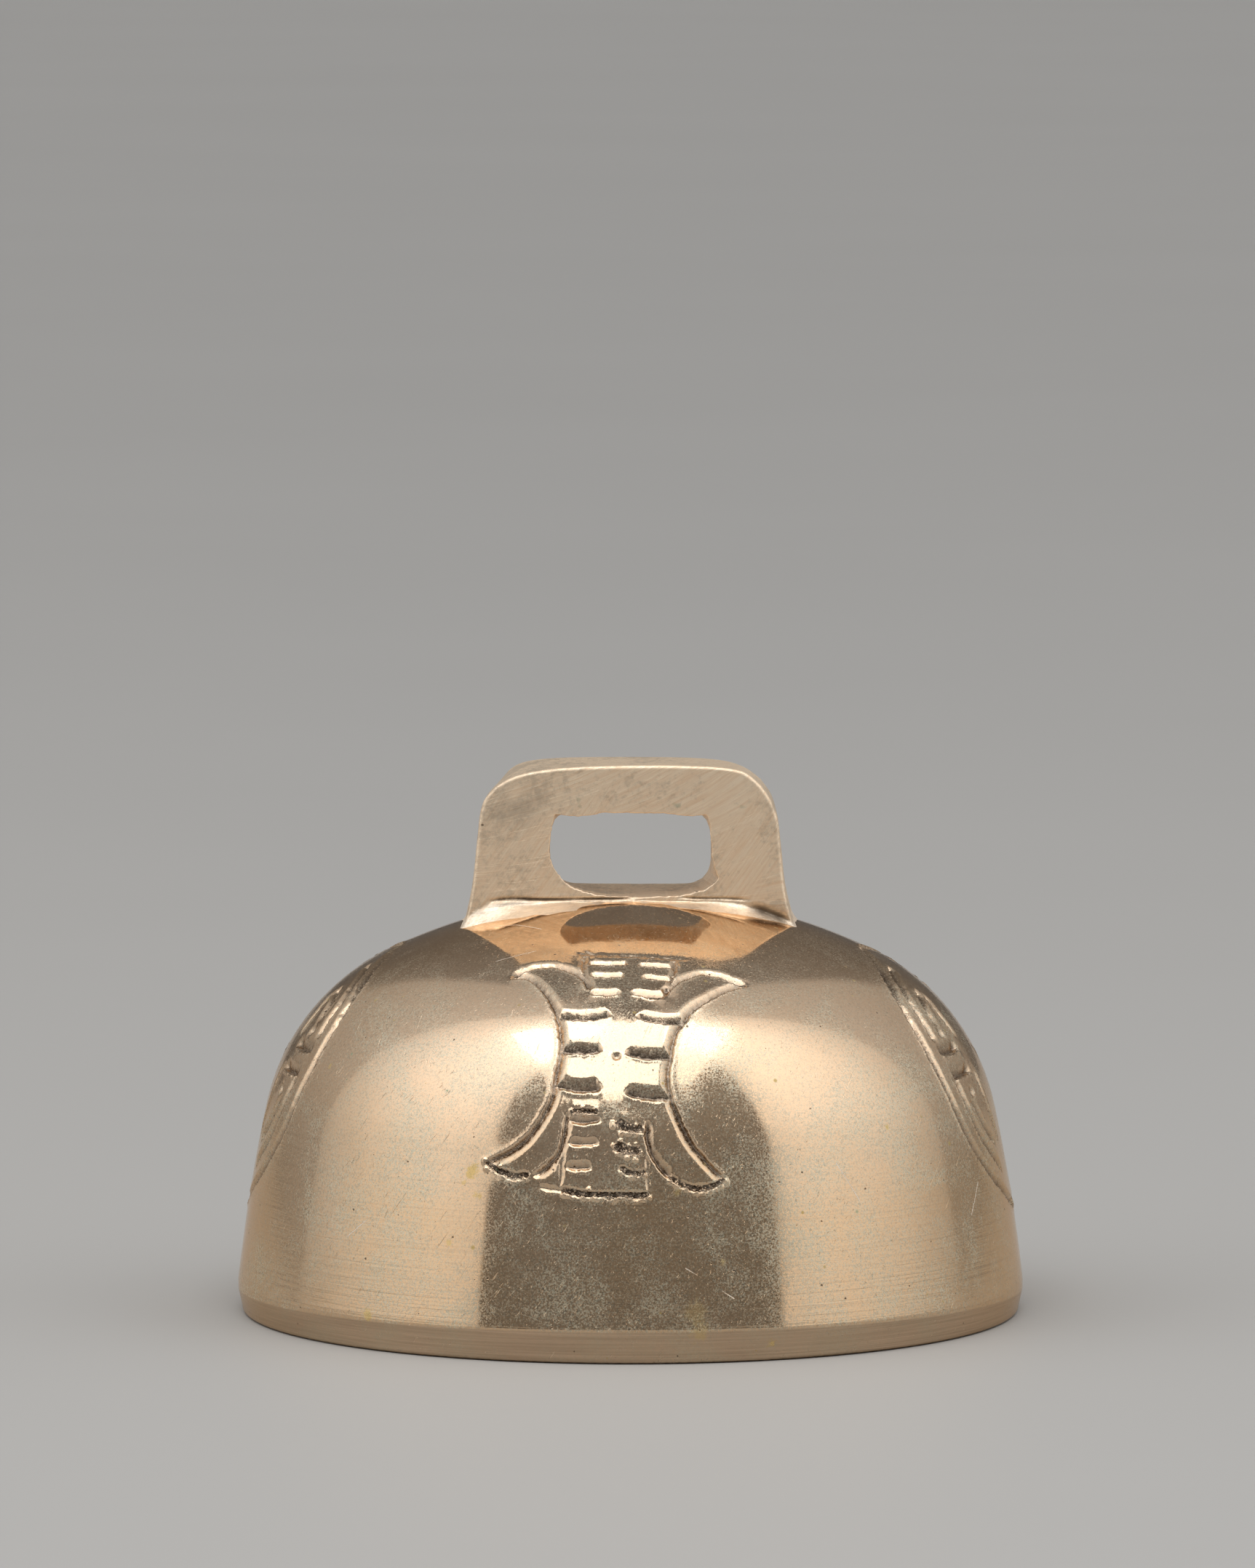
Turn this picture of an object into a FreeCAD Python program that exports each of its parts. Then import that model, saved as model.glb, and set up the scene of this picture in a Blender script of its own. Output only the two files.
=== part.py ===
import FreeCAD, Part
import math
import os
import Sketcher

# A small cast hanging bell: a domed bronze body with a turned rim band, a filed strap loop
# brazed on its crown, and inside it a clapper that hangs on a wire link from a wire staple.
# The origin is the centre of the rim's resting plane, +Z is up, the loop lies in the XZ plane.

doc = FreeCAD.newDocument("hanging_bell")
sheet = doc.addObject("Spreadsheet::Sheet", "Sizes")

# Driving dimensions in millimetres
driving_sizes = [
    # bell body
    ("rim_diameter", 80.0, "across the top of the turned rim band, the widest place"),
    ("dome_height", 42.2, "rim plane to the top of the dome"),
    ("band_height", 3.3, "height of the turned band at the rim"),
    ("band_lean", 0.4, "how far the band draws in on its way down"),
    ("wall", 3.0, "thickness of the side wall"),
    ("crown_wall", 4.2, "thickness in the middle of the crown"),
    ("rim_bevel", 0.5, "outer edge of the rim"),
    ("lip_bevel", 0.4, "inner edge of the rim"),
    ("crown_radius", 56.8, "crown arc, centred on the axis"),
    ("shoulder_radius", 22.5, "shoulder arc, tangent to the crown arc and the side arc"),
    ("side_radius", 187.9, "side arc, which ends at the top of the band"),
    ("side_drop", 18.4, "middle of the side arc's circle below the rim plane"),
    ("inner_crown_radius", 70.1, "crown arc inside, flatter than outside"),
    ("inner_shoulder_radius", 19.5, "shoulder arc inside"),
    # hanging loop
    ("loop_rise", 14.0, "top of the loop above the dome"),
    ("loop_depth", 7.5, "thickness of the strap, front to back"),
    ("toe_width", 34.2, "across the foot where it meets the dome"),
    ("toe_drop", 2.6, "outline's lowest level below the top of the dome"),
    ("heel_width", 32.7, "across the loop just over its flared foot"),
    ("heel_drop", 0.5, "top of the flared foot below the top of the dome"),
    ("shoulder_width", 30.4, "across the loop where its corners begin"),
    ("corner_round", 4.6, "outer top corners"),
    ("top_bow", 130.0, "radius of the slightly bowed top"),
    ("eye_width", 16.2, "opening, left to right"),
    ("eye_rise", 7.75, "opening, floor to ceiling"),
    ("eye_floor", 1.1, "floor of the opening above the dome"),
    ("eye_top_round", 1.0, "upper corners of the opening"),
    ("eye_floor_round", 3.2, "lower corners of the opening"),
    ("strap_edge_round", 0.7, "long edges of the strap, front and back"),
    # wire staple and link
    ("wire", 2.0, "diameter of the wire of the staple, the link and the eye"),
    ("staple_span", 10.0, "between the middles of the staple's legs"),
    ("staple_bend", 2.0, "bend radius at the wire's centre line"),
    ("staple_seat", 2.4, "depth of the legs in the crown"),
    ("crown_gap", 0.4, "between the link's top and the inside of the crown"),
    ("link_play", 0.1, "running clearance of the wires in each other"),
    ("link_space", 2.0, "free height in the link between the staple and the eye"),
    # clapper
    ("ball_diameter", 13.0, "striking ball"),
    ("ball_flat", 4.8, "diameter of the flats turned on the ball's top and bottom"),
    ("shank_diameter", 2.6, "rod of the clapper"),
    ("tail_diameter", 2.0, "thinner end of the rod, in the ball's bore"),
    ("neck", 1.9, "length of the taper that runs from the rod into the wire of its eye"),
    ("neck_end_diameter", 1.5, "end of that taper, inside the wire"),
    ("peen_diameter", 4.0, "head hammered on the tail below the ball"),
    ("peen_height", 0.9, "that head's height"),
    ("mouth_gap", 1.0, "lowest point of the clapper above the rim plane"),
    # shared clearances
    ("seat_gap", 0.02, "between pieces that are seated or brazed together"),
    ("overrun", 1.0, "how far a cut runs past the solid"),
]
for row, (alias, value, note) in enumerate(driving_sizes, start=1):
    sheet.set(f"A{row}", alias)
    sheet.set(f"B{row}", str(value))
    sheet.set(f"C{row}", note)
    sheet.setAlias(f"B{row}", alias)
doc.recompute()


def sheet_terms(formula):
    """Put the sheet's name before each alias in a formula."""
    words = []
    for word in formula.split():
        words.append("Sizes." + word if word[0].isalpha() else word)
    return " ".join(words)


def value_of(formula):
    """The number that a formula over the sheet gives."""
    return float(sheet.evalExpression(sheet_terms(formula)))


# Formulas that more than one piece reads, spaced so that each alias stands by itself
rim_radius = "rim_diameter / 2"
bend_radius = "wire + link_play"
bar_level = f"dome_height - crown_wall - crown_gap - wire / 2 - ( {bend_radius} )"
eye_top_level = f"{bar_level} - wire - link_space"
eye_level = f"{eye_top_level} - wire - link_play"
leg_top_level = "dome_height - crown_wall + staple_seat"


def vec(x, y):
    return FreeCAD.Vector(x, y, 0)


def origin_plane(body, role):
    for feature in body.Origin.OriginFeatures:
        if feature.Role == role:
            return feature
    raise ValueError("no plane with the role " + role)


def new_body(label):
    body = doc.addObject("PartDesign::Body", label)
    body.Label = label
    body.Placement = FreeCAD.Placement()
    return body


def new_sketch(body, name, role, level=None):
    """A sketch on one of its body's own origin planes, raised to a level where one is given."""
    sketch = body.newObject("Sketcher::SketchObject", name)
    sketch.AttachmentSupport = [(origin_plane(body, role), "")]
    sketch.MapMode = "FlatFace"
    if level is not None:
        sketch.setExpression(".AttachmentOffset.Base.z", sheet_terms(level))
    return sketch


def bind(sketch, kind, places, name, formula):
    """A dimension of a sketch, bound to a formula over the sheet."""
    index = sketch.addConstraint(Sketcher.Constraint(kind, *places, value_of(formula)))
    sketch.renameConstraint(index, name)
    sketch.setExpression("Constraints." + name, sheet_terms(formula))


def tie(sketch, kind, *places):
    """A constraint that has no value."""
    sketch.addConstraint(Sketcher.Constraint(kind, *places))


def arc_through(start, end, centre):
    """The arc that runs counter-clockwise from start to end about centre."""
    radius = math.dist(start, centre)
    first = math.atan2(start[1] - centre[1], start[0] - centre[0])
    last = math.atan2(end[1] - centre[1], end[0] - centre[0])
    if last < first:
        last += 2 * math.pi
    circle = Part.Circle(vec(*centre), FreeCAD.Vector(0, 0, 1), radius)
    return Part.ArcOfCircle(circle, first, last)


def line(start, end):
    return Part.LineSegment(vec(*start), vec(*end))


def crossing(centre, reach, other_centre, other_reach):
    """The point at two distances from two centres, on the right of the line from the first."""
    apart = math.dist(centre, other_centre)
    along = (apart**2 + reach**2 - other_reach**2) / (2 * apart)
    aside = math.sqrt(reach**2 - along**2)
    run = ((other_centre[0] - centre[0]) / apart, (other_centre[1] - centre[1]) / apart)
    return (
        centre[0] + run[0] * along + run[1] * aside,
        centre[1] + run[1] * along - run[0] * aside,
    )


def toward(start, target, length):
    reach = math.dist(start, target)
    share = length / reach
    return (start[0] + (target[0] - start[0]) * share, start[1] + (target[1] - start[1]) * share)


# Bell body: three tangent arcs outside, the same centres inside, and a crown that thickens inward
def make_bell_body():
    body = new_body("bell_body")
    profile = new_sketch(body, "bell_profile", "XZ_Plane")
    height = value_of("dome_height")
    crown_reach = value_of("crown_radius")
    shoulder_reach = value_of("shoulder_radius")
    side_reach = value_of("side_radius")
    rim_bevel = value_of("rim_bevel")
    lip_bevel = value_of("lip_bevel")
    apex = (0.0, height)
    band_top = (value_of(rim_radius), value_of("band_height"))
    band_foot = (value_of(rim_radius + " - band_lean"), rim_bevel)
    rim_out = (band_foot[0] - rim_bevel, 0.0)
    crown_centre = (0.0, height - crown_reach)
    side_level = -value_of("side_drop")
    side_centre = (band_top[0] - math.sqrt(side_reach**2 - (band_top[1] - side_level) ** 2), side_level)
    shoulder_centre = crossing(
        crown_centre, crown_reach - shoulder_reach, side_centre, side_reach - shoulder_reach
    )
    crown_end = toward(crown_centre, shoulder_centre, crown_reach)
    shoulder_end = toward(side_centre, shoulder_centre, side_reach)
    # inside: the side arc shares the outer centre, the crown arc is flatter, the shoulder joins them
    inner_crown = value_of("inner_crown_radius")
    inner_shoulder = value_of("inner_shoulder_radius")
    inner_side = value_of("side_radius - wall")
    inner_apex = (0.0, height - value_of("crown_wall"))
    inner_crown_centre = (0.0, inner_apex[1] - inner_crown)
    inner_shoulder_centre = crossing(
        inner_crown_centre, inner_crown - inner_shoulder, side_centre, inner_side - inner_shoulder
    )
    inner_crown_end = toward(inner_crown_centre, inner_shoulder_centre, inner_crown)
    inner_shoulder_end = toward(side_centre, inner_shoulder_centre, inner_side)
    lip_out = side_centre[0] + math.sqrt(inner_side**2 - (lip_bevel - side_centre[1]) ** 2)
    lip = (lip_out, lip_bevel)
    rim_in = (lip_out + lip_bevel, 0.0)
    outer_arcs = [
        arc_through(crown_end, apex, crown_centre),
        arc_through(shoulder_end, crown_end, shoulder_centre),
        arc_through(band_top, shoulder_end, side_centre),
    ]
    rim_lines = [line(band_top, band_foot), line(band_foot, rim_out), line(rim_out, rim_in), line(rim_in, lip)]
    inner_arcs = [
        arc_through(lip, inner_shoulder_end, side_centre),
        arc_through(inner_shoulder_end, inner_crown_end, inner_shoulder_centre),
        arc_through(inner_crown_end, inner_apex, inner_crown_centre),
    ]
    crown, shoulder, side = profile.addGeometry(outer_arcs, False)
    band, rim_edge, rim, lip_edge = profile.addGeometry(rim_lines, False)
    in_side, in_shoulder, in_crown = profile.addGeometry(inner_arcs, False)
    middle = profile.addGeometry(line(inner_apex, apex), False)
    tie(profile, "Tangent", crown, 1, shoulder, 2)
    tie(profile, "Tangent", shoulder, 1, side, 2)
    tie(profile, "Coincident", side, 1, band, 1)
    tie(profile, "Coincident", band, 2, rim_edge, 1)
    tie(profile, "Coincident", rim_edge, 2, rim, 1)
    tie(profile, "Coincident", rim, 2, lip_edge, 1)
    tie(profile, "Coincident", lip_edge, 2, in_side, 1)
    tie(profile, "Tangent", in_side, 2, in_shoulder, 1)
    tie(profile, "Tangent", in_shoulder, 2, in_crown, 1)
    tie(profile, "Coincident", in_crown, 2, middle, 1)
    tie(profile, "Coincident", middle, 2, crown, 2)
    tie(profile, "PointOnObject", crown, 3, -2)
    tie(profile, "PointOnObject", crown, 2, -2)
    tie(profile, "PointOnObject", in_crown, 3, -2)
    tie(profile, "PointOnObject", in_crown, 2, -2)
    tie(profile, "PointOnObject", rim, 1, -1)
    tie(profile, "PointOnObject", rim, 2, -1)
    tie(profile, "Coincident", in_side, 3, side, 3)
    bind(profile, "DistanceY", (-1, 1, crown, 2), "dome_top", "dome_height")
    bind(profile, "Radius", (crown,), "crown_arc", "crown_radius")
    bind(profile, "Radius", (shoulder,), "shoulder_arc", "shoulder_radius")
    bind(profile, "Radius", (side,), "side_arc", "side_radius")
    bind(profile, "DistanceY", (side, 3, -1, 1), "side_down", "side_drop")
    bind(profile, "DistanceX", (-1, 1, side, 1), "band_out", rim_radius)
    bind(profile, "DistanceY", (-1, 1, side, 1), "band_up", "band_height")
    bind(profile, "DistanceX", (-1, 1, band, 2), "foot_out", rim_radius + " - band_lean")
    bind(profile, "DistanceX", (rim_edge, 2, rim_edge, 1), "rim_edge_wide", "rim_bevel")
    bind(profile, "DistanceY", (rim_edge, 2, rim_edge, 1), "rim_edge_tall", "rim_bevel")
    bind(profile, "DistanceX", (lip_edge, 2, lip_edge, 1), "lip_edge_wide", "lip_bevel")
    bind(profile, "DistanceY", (lip_edge, 1, lip_edge, 2), "lip_edge_tall", "lip_bevel")
    bind(profile, "Radius", (in_side,), "inner_side_arc", "side_radius - wall")
    bind(profile, "Radius", (in_shoulder,), "inner_shoulder_arc", "inner_shoulder_radius")
    bind(profile, "Radius", (in_crown,), "inner_crown_arc", "inner_crown_radius")
    bind(profile, "DistanceY", (in_crown, 2, crown, 2), "crown_thick", "crown_wall")
    casting = body.newObject("PartDesign::Revolution", "casting")
    casting.Profile = profile
    casting.ReferenceAxis = (profile, ["V_Axis"])
    doc.recompute()
    # blind holes for the staple's legs, sunk into the crown from inside
    leg_places = new_sketch(body, "leg_places", "XY_Plane")
    half_span = value_of("staple_span / 2")
    hole_radius = value_of("wire / 2 + seat_gap")
    for side_name, sign in (("right", 1), ("left", -1)):
        circle = Part.Circle(vec(sign * half_span, 0), FreeCAD.Vector(0, 0, 1), hole_radius)
        hole = leg_places.addGeometry(circle, False)
        tie(leg_places, "PointOnObject", hole, 3, -1)
        ends = (-1, 1, hole, 3) if sign > 0 else (hole, 3, -1, 1)
        bind(leg_places, "DistanceX", ends, side_name + "_leg", "staple_span / 2")
        bind(leg_places, "Radius", (hole,), side_name + "_hole", "wire / 2 + seat_gap")
    leg_holes = body.newObject("PartDesign::Pocket", "leg_holes")
    leg_holes.Profile = leg_places
    leg_holes.Reversed = True
    leg_holes.setExpression("Length", sheet_terms(leg_top_level + " + seat_gap"))
    return body


# Hanging loop: a strap sawn to its outline, its edges eased, its foot cut to the dome
def make_hanging_loop():
    body = new_body("hanging_loop")
    outline = new_sketch(body, "loop_outline", "XZ_Plane")
    top = value_of("dome_height + loop_rise")
    toe = (value_of("toe_width / 2"), value_of("dome_height - toe_drop"))
    heel = (value_of("heel_width / 2"), value_of("dome_height - heel_drop"))
    corner = value_of("corner_round")
    bow = value_of("top_bow")
    shoulder = value_of("shoulder_width / 2")
    bow_centre = (0.0, top - bow)
    corner_out = shoulder - corner
    corner_centre = (corner_out, bow_centre[1] + math.sqrt((bow - corner) ** 2 - corner_out**2))
    flank_end = (shoulder, corner_centre[1])
    top_end = toward(bow_centre, corner_centre, bow)

    def mirrored(point):
        return (-point[0], point[1])

    floor, toe_r, flank_r, corner_r, bowed, corner_l, flank_l, toe_l = outline.addGeometry(
        [
            line(mirrored(toe), toe),
            line(toe, heel),
            line(heel, flank_end),
            arc_through(flank_end, top_end, corner_centre),
            arc_through(top_end, mirrored(top_end), bow_centre),
            arc_through(mirrored(top_end), mirrored(flank_end), mirrored(corner_centre)),
            line(mirrored(flank_end), mirrored(heel)),
            line(mirrored(heel), mirrored(toe)),
        ],
        False,
    )
    tie(outline, "Coincident", floor, 2, toe_r, 1)
    tie(outline, "Coincident", toe_r, 2, flank_r, 1)
    tie(outline, "Tangent", flank_r, 2, corner_r, 1)
    tie(outline, "Tangent", corner_r, 2, bowed, 1)
    tie(outline, "Tangent", bowed, 2, corner_l, 1)
    tie(outline, "Tangent", corner_l, 2, flank_l, 1)
    tie(outline, "Coincident", flank_l, 2, toe_l, 1)
    tie(outline, "Coincident", toe_l, 2, floor, 1)
    tie(outline, "Symmetric", floor, 1, floor, 2, -2)
    tie(outline, "Symmetric", flank_r, 1, flank_l, 2, -2)
    tie(outline, "PointOnObject", bowed, 3, -2)
    tie(outline, "Symmetric", flank_r, 2, flank_l, 1, -2)
    bind(outline, "DistanceX", (floor, 1, floor, 2), "toe_across", "toe_width")
    bind(outline, "DistanceY", (-1, 1, floor, 2), "toe_up", "dome_height - toe_drop")
    bind(outline, "DistanceX", (flank_l, 2, flank_r, 1), "heel_across", "heel_width")
    bind(outline, "DistanceY", (-1, 1, flank_r, 1), "heel_up", "dome_height - heel_drop")
    bind(outline, "DistanceX", (flank_l, 1, flank_r, 2), "shoulder_across", "shoulder_width")
    bind(outline, "Radius", (corner_r,), "corner_radius", "corner_round")
    bind(outline, "Radius", (bowed,), "bow_radius", "top_bow")
    bind(outline, "DistanceY", (bowed, 3, -1, 1), "bow_down", "top_bow - dome_height - loop_rise")
    strap = body.newObject("PartDesign::Pad", "strap")
    strap.Profile = outline
    strap.SideType = "Symmetric"
    strap.setExpression("Length", "Sizes.loop_depth")
    doc.recompute()
    # long edges of the strap: those that lie in the front and back faces, but not the foot's
    half_depth = value_of("loop_depth / 2")
    toe_level = value_of("dome_height - toe_drop")
    long_edges = []
    for number, edge in enumerate(strap.Shape.Edges, start=1):
        box = edge.BoundBox
        in_face = abs(abs(box.YMin) - half_depth) < 1e-6 and box.YLength < 1e-6
        if in_face and box.ZMax > toe_level + 1e-3:
            long_edges.append(f"Edge{number}")
    eased = body.newObject("PartDesign::Fillet", "eased_edges")
    eased.Base = (strap, long_edges)
    eased.setExpression("Radius", "Sizes.strap_edge_round")
    doc.recompute()
    # the opening that the hanging cord passes through
    eye_outline = new_sketch(body, "eye_outline", "XZ_Plane")
    out = value_of("eye_width / 2")
    low = value_of("dome_height + eye_floor")
    high = value_of("dome_height + eye_floor + eye_rise")
    low_round = value_of("eye_floor_round")
    high_round = value_of("eye_top_round")
    sill, low_r, jamb_r, high_r, lintel, high_l, jamb_l, low_l = eye_outline.addGeometry(
        [
            line((-out + low_round, low), (out - low_round, low)),
            arc_through((out - low_round, low), (out, low + low_round), (out - low_round, low + low_round)),
            line((out, low + low_round), (out, high - high_round)),
            arc_through((out, high - high_round), (out - high_round, high), (out - high_round, high - high_round)),
            line((out - high_round, high), (-out + high_round, high)),
            arc_through((-out + high_round, high), (-out, high - high_round), (-out + high_round, high - high_round)),
            line((-out, high - high_round), (-out, low + low_round)),
            arc_through((-out, low + low_round), (-out + low_round, low), (-out + low_round, low + low_round)),
        ],
        False,
    )
    ring = (sill, low_r, jamb_r, high_r, lintel, high_l, jamb_l, low_l)
    for current, following in zip(ring, ring[1:] + ring[:1]):
        tie(eye_outline, "Tangent", current, 2, following, 1)
    tie(eye_outline, "Horizontal", lintel)
    tie(eye_outline, "Vertical", jamb_r)
    tie(eye_outline, "Vertical", jamb_l)
    tie(eye_outline, "Equal", low_r, low_l)
    tie(eye_outline, "Equal", high_r, high_l)
    tie(eye_outline, "Symmetric", sill, 1, sill, 2, -2)
    bind(eye_outline, "Radius", (low_r,), "floor_radius", "eye_floor_round")
    bind(eye_outline, "Radius", (high_r,), "ceiling_radius", "eye_top_round")
    bind(eye_outline, "DistanceX", (-1, 1, jamb_r, 1), "jamb_out", "eye_width / 2")
    bind(eye_outline, "DistanceY", (-1, 1, sill, 2), "sill_up", "dome_height + eye_floor")
    bind(eye_outline, "DistanceY", (sill, 2, lintel, 1), "eye_tall", "eye_rise")
    eye = body.newObject("PartDesign::Pocket", "eye")
    eye.Profile = eye_outline
    eye.SideType = "Symmetric"
    eye.setExpression("Length", "Sizes.loop_depth + Sizes.overrun * 2")
    doc.recompute()
    # the seat: the dome's own crown arc, one brazing gap higher, turned out of the foot
    seat_profile = new_sketch(body, "seat_profile", "XZ_Plane")
    height = value_of("dome_height + seat_gap")
    seat_reach = value_of("crown_radius + seat_gap")
    seat_centre = (0.0, height - seat_reach)
    seat_out = value_of("toe_width / 2 + overrun")
    seat_end = (seat_out, seat_centre[1] + math.sqrt(seat_reach**2 - seat_out**2))
    bottom = height - value_of("toe_width / 2")
    crown, outside, under, middle = seat_profile.addGeometry(
        [
            arc_through(seat_end, (0.0, height), seat_centre),
            line(seat_end, (seat_out, bottom)),
            line((seat_out, bottom), (0.0, bottom)),
            line((0.0, bottom), (0.0, height)),
        ],
        False,
    )
    tie(seat_profile, "Coincident", crown, 1, outside, 1)
    tie(seat_profile, "Coincident", outside, 2, under, 1)
    tie(seat_profile, "Coincident", under, 2, middle, 1)
    tie(seat_profile, "Coincident", middle, 2, crown, 2)
    tie(seat_profile, "PointOnObject", crown, 3, -2)
    tie(seat_profile, "PointOnObject", crown, 2, -2)
    tie(seat_profile, "PointOnObject", under, 2, -2)
    tie(seat_profile, "Vertical", outside)
    tie(seat_profile, "Horizontal", under)
    bind(seat_profile, "DistanceY", (-1, 1, crown, 2), "seat_top", "dome_height + seat_gap")
    bind(seat_profile, "DistanceX", (-1, 1, crown, 1), "seat_out", "toe_width / 2 + overrun")
    bind(seat_profile, "Radius", (crown,), "seat_arc", "crown_radius + seat_gap")
    bind(seat_profile, "DistanceY", (under, 2, crown, 2), "seat_deep", "toe_width / 2")
    seat = body.newObject("PartDesign::Groove", "seat")
    seat.Profile = seat_profile
    seat.ReferenceAxis = (seat_profile, ["V_Axis"])
    return body


def wire_section(body, name, out, across, level):
    """The round section of a bent wire, square to the Z axis at a level."""
    section = new_sketch(body, name, "XY_Plane", level)
    centre = (value_of(out) if out else 0.0, value_of(across) if across else 0.0)
    circle = Part.Circle(vec(*centre), FreeCAD.Vector(0, 0, 1), value_of("wire / 2"))
    ring = section.addGeometry(circle, False)
    bind(section, "Radius", (ring,), "wire_radius", "wire / 2")
    if out:
        bind(section, "DistanceX", (-1, 1, ring, 3), "out", out)
        tie(section, "PointOnObject", ring, 3, -1)
    else:
        bind(section, "DistanceY", (-1, 1, ring, 3), "across", across)
        tie(section, "PointOnObject", ring, 3, -2)
    return section


# Staple: wire bent to a U, legs up in the crown, its straight bar along X carries the link
def make_clapper_staple():
    body = new_body("clapper_staple")
    path = new_sketch(body, "staple_path", "XZ_Plane")
    out = value_of("staple_span / 2")
    bend = value_of("staple_bend")
    bar = value_of(bar_level)
    leg_top = value_of(leg_top_level)
    leg_r, bend_r, bar_line, bend_l, leg_l = path.addGeometry(
        [
            line((out, leg_top), (out, bar + bend)),
            arc_through((out - bend, bar), (out, bar + bend), (out - bend, bar + bend)),
            line((out - bend, bar), (-out + bend, bar)),
            arc_through((-out, bar + bend), (-out + bend, bar), (-out + bend, bar + bend)),
            line((-out, bar + bend), (-out, leg_top)),
        ],
        False,
    )
    tie(path, "Tangent", leg_r, 2, bend_r, 2)
    tie(path, "Tangent", bend_r, 1, bar_line, 1)
    tie(path, "Tangent", bar_line, 2, bend_l, 2)
    tie(path, "Tangent", bend_l, 1, leg_l, 1)
    tie(path, "Vertical", leg_r)
    tie(path, "Equal", bend_r, bend_l)
    tie(path, "Symmetric", bar_line, 1, bar_line, 2, -2)
    tie(path, "Symmetric", leg_r, 1, leg_l, 2, -2)
    bind(path, "Radius", (bend_r,), "bend", "staple_bend")
    bind(path, "DistanceX", (-1, 1, leg_r, 1), "leg_out", "staple_span / 2")
    bind(path, "DistanceY", (-1, 1, leg_r, 1), "leg_up", leg_top_level)
    bind(path, "DistanceY", (-1, 1, bar_line, 1), "bar_up", bar_level)
    section = wire_section(body, "staple_section", "staple_span / 2", None, leg_top_level)
    bent = body.newObject("PartDesign::AdditivePipe", "bent_wire")
    bent.Profile = section
    bent.Spine = (path, [])
    return body


# Link: closed wire ring with straight sides, hugging the staple's bar above and the eye below
def make_clapper_link():
    body = new_body("clapper_link")
    path = new_sketch(body, "link_path", "YZ_Plane")
    out = value_of(bend_radius)
    high = value_of(bar_level)
    low = value_of(eye_top_level)
    top_bend, left, low_bend, right = path.addGeometry(
        [
            arc_through((out, high), (-out, high), (0.0, high)),
            line((-out, high), (-out, low)),
            arc_through((-out, low), (out, low), (0.0, low)),
            line((out, low), (out, high)),
        ],
        False,
    )
    tie(path, "Tangent", top_bend, 2, left, 1)
    tie(path, "Tangent", left, 2, low_bend, 1)
    tie(path, "Tangent", low_bend, 2, right, 1)
    tie(path, "Tangent", right, 2, top_bend, 1)
    tie(path, "Vertical", left)
    tie(path, "Vertical", right)
    tie(path, "PointOnObject", top_bend, 3, -2)
    bind(path, "Radius", (top_bend,), "bend", bend_radius)
    bind(path, "DistanceY", (-1, 1, top_bend, 3), "bar_up", bar_level)
    bind(path, "DistanceY", (-1, 1, low_bend, 3), "eye_up", eye_top_level)
    section = wire_section(body, "link_section", None, bend_radius, bar_level)
    bent = body.newObject("PartDesign::AdditivePipe", "closed_wire")
    bent.Profile = section
    bent.Spine = (path, [])
    return body


ball_flat_rise = "( ( ball_diameter / 2 ) ^ 2 - ( ball_flat / 2 ) ^ 2 ) ^ 0.5"
ball_level = f"mouth_gap + peen_height + seat_gap + {ball_flat_rise}"


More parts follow.
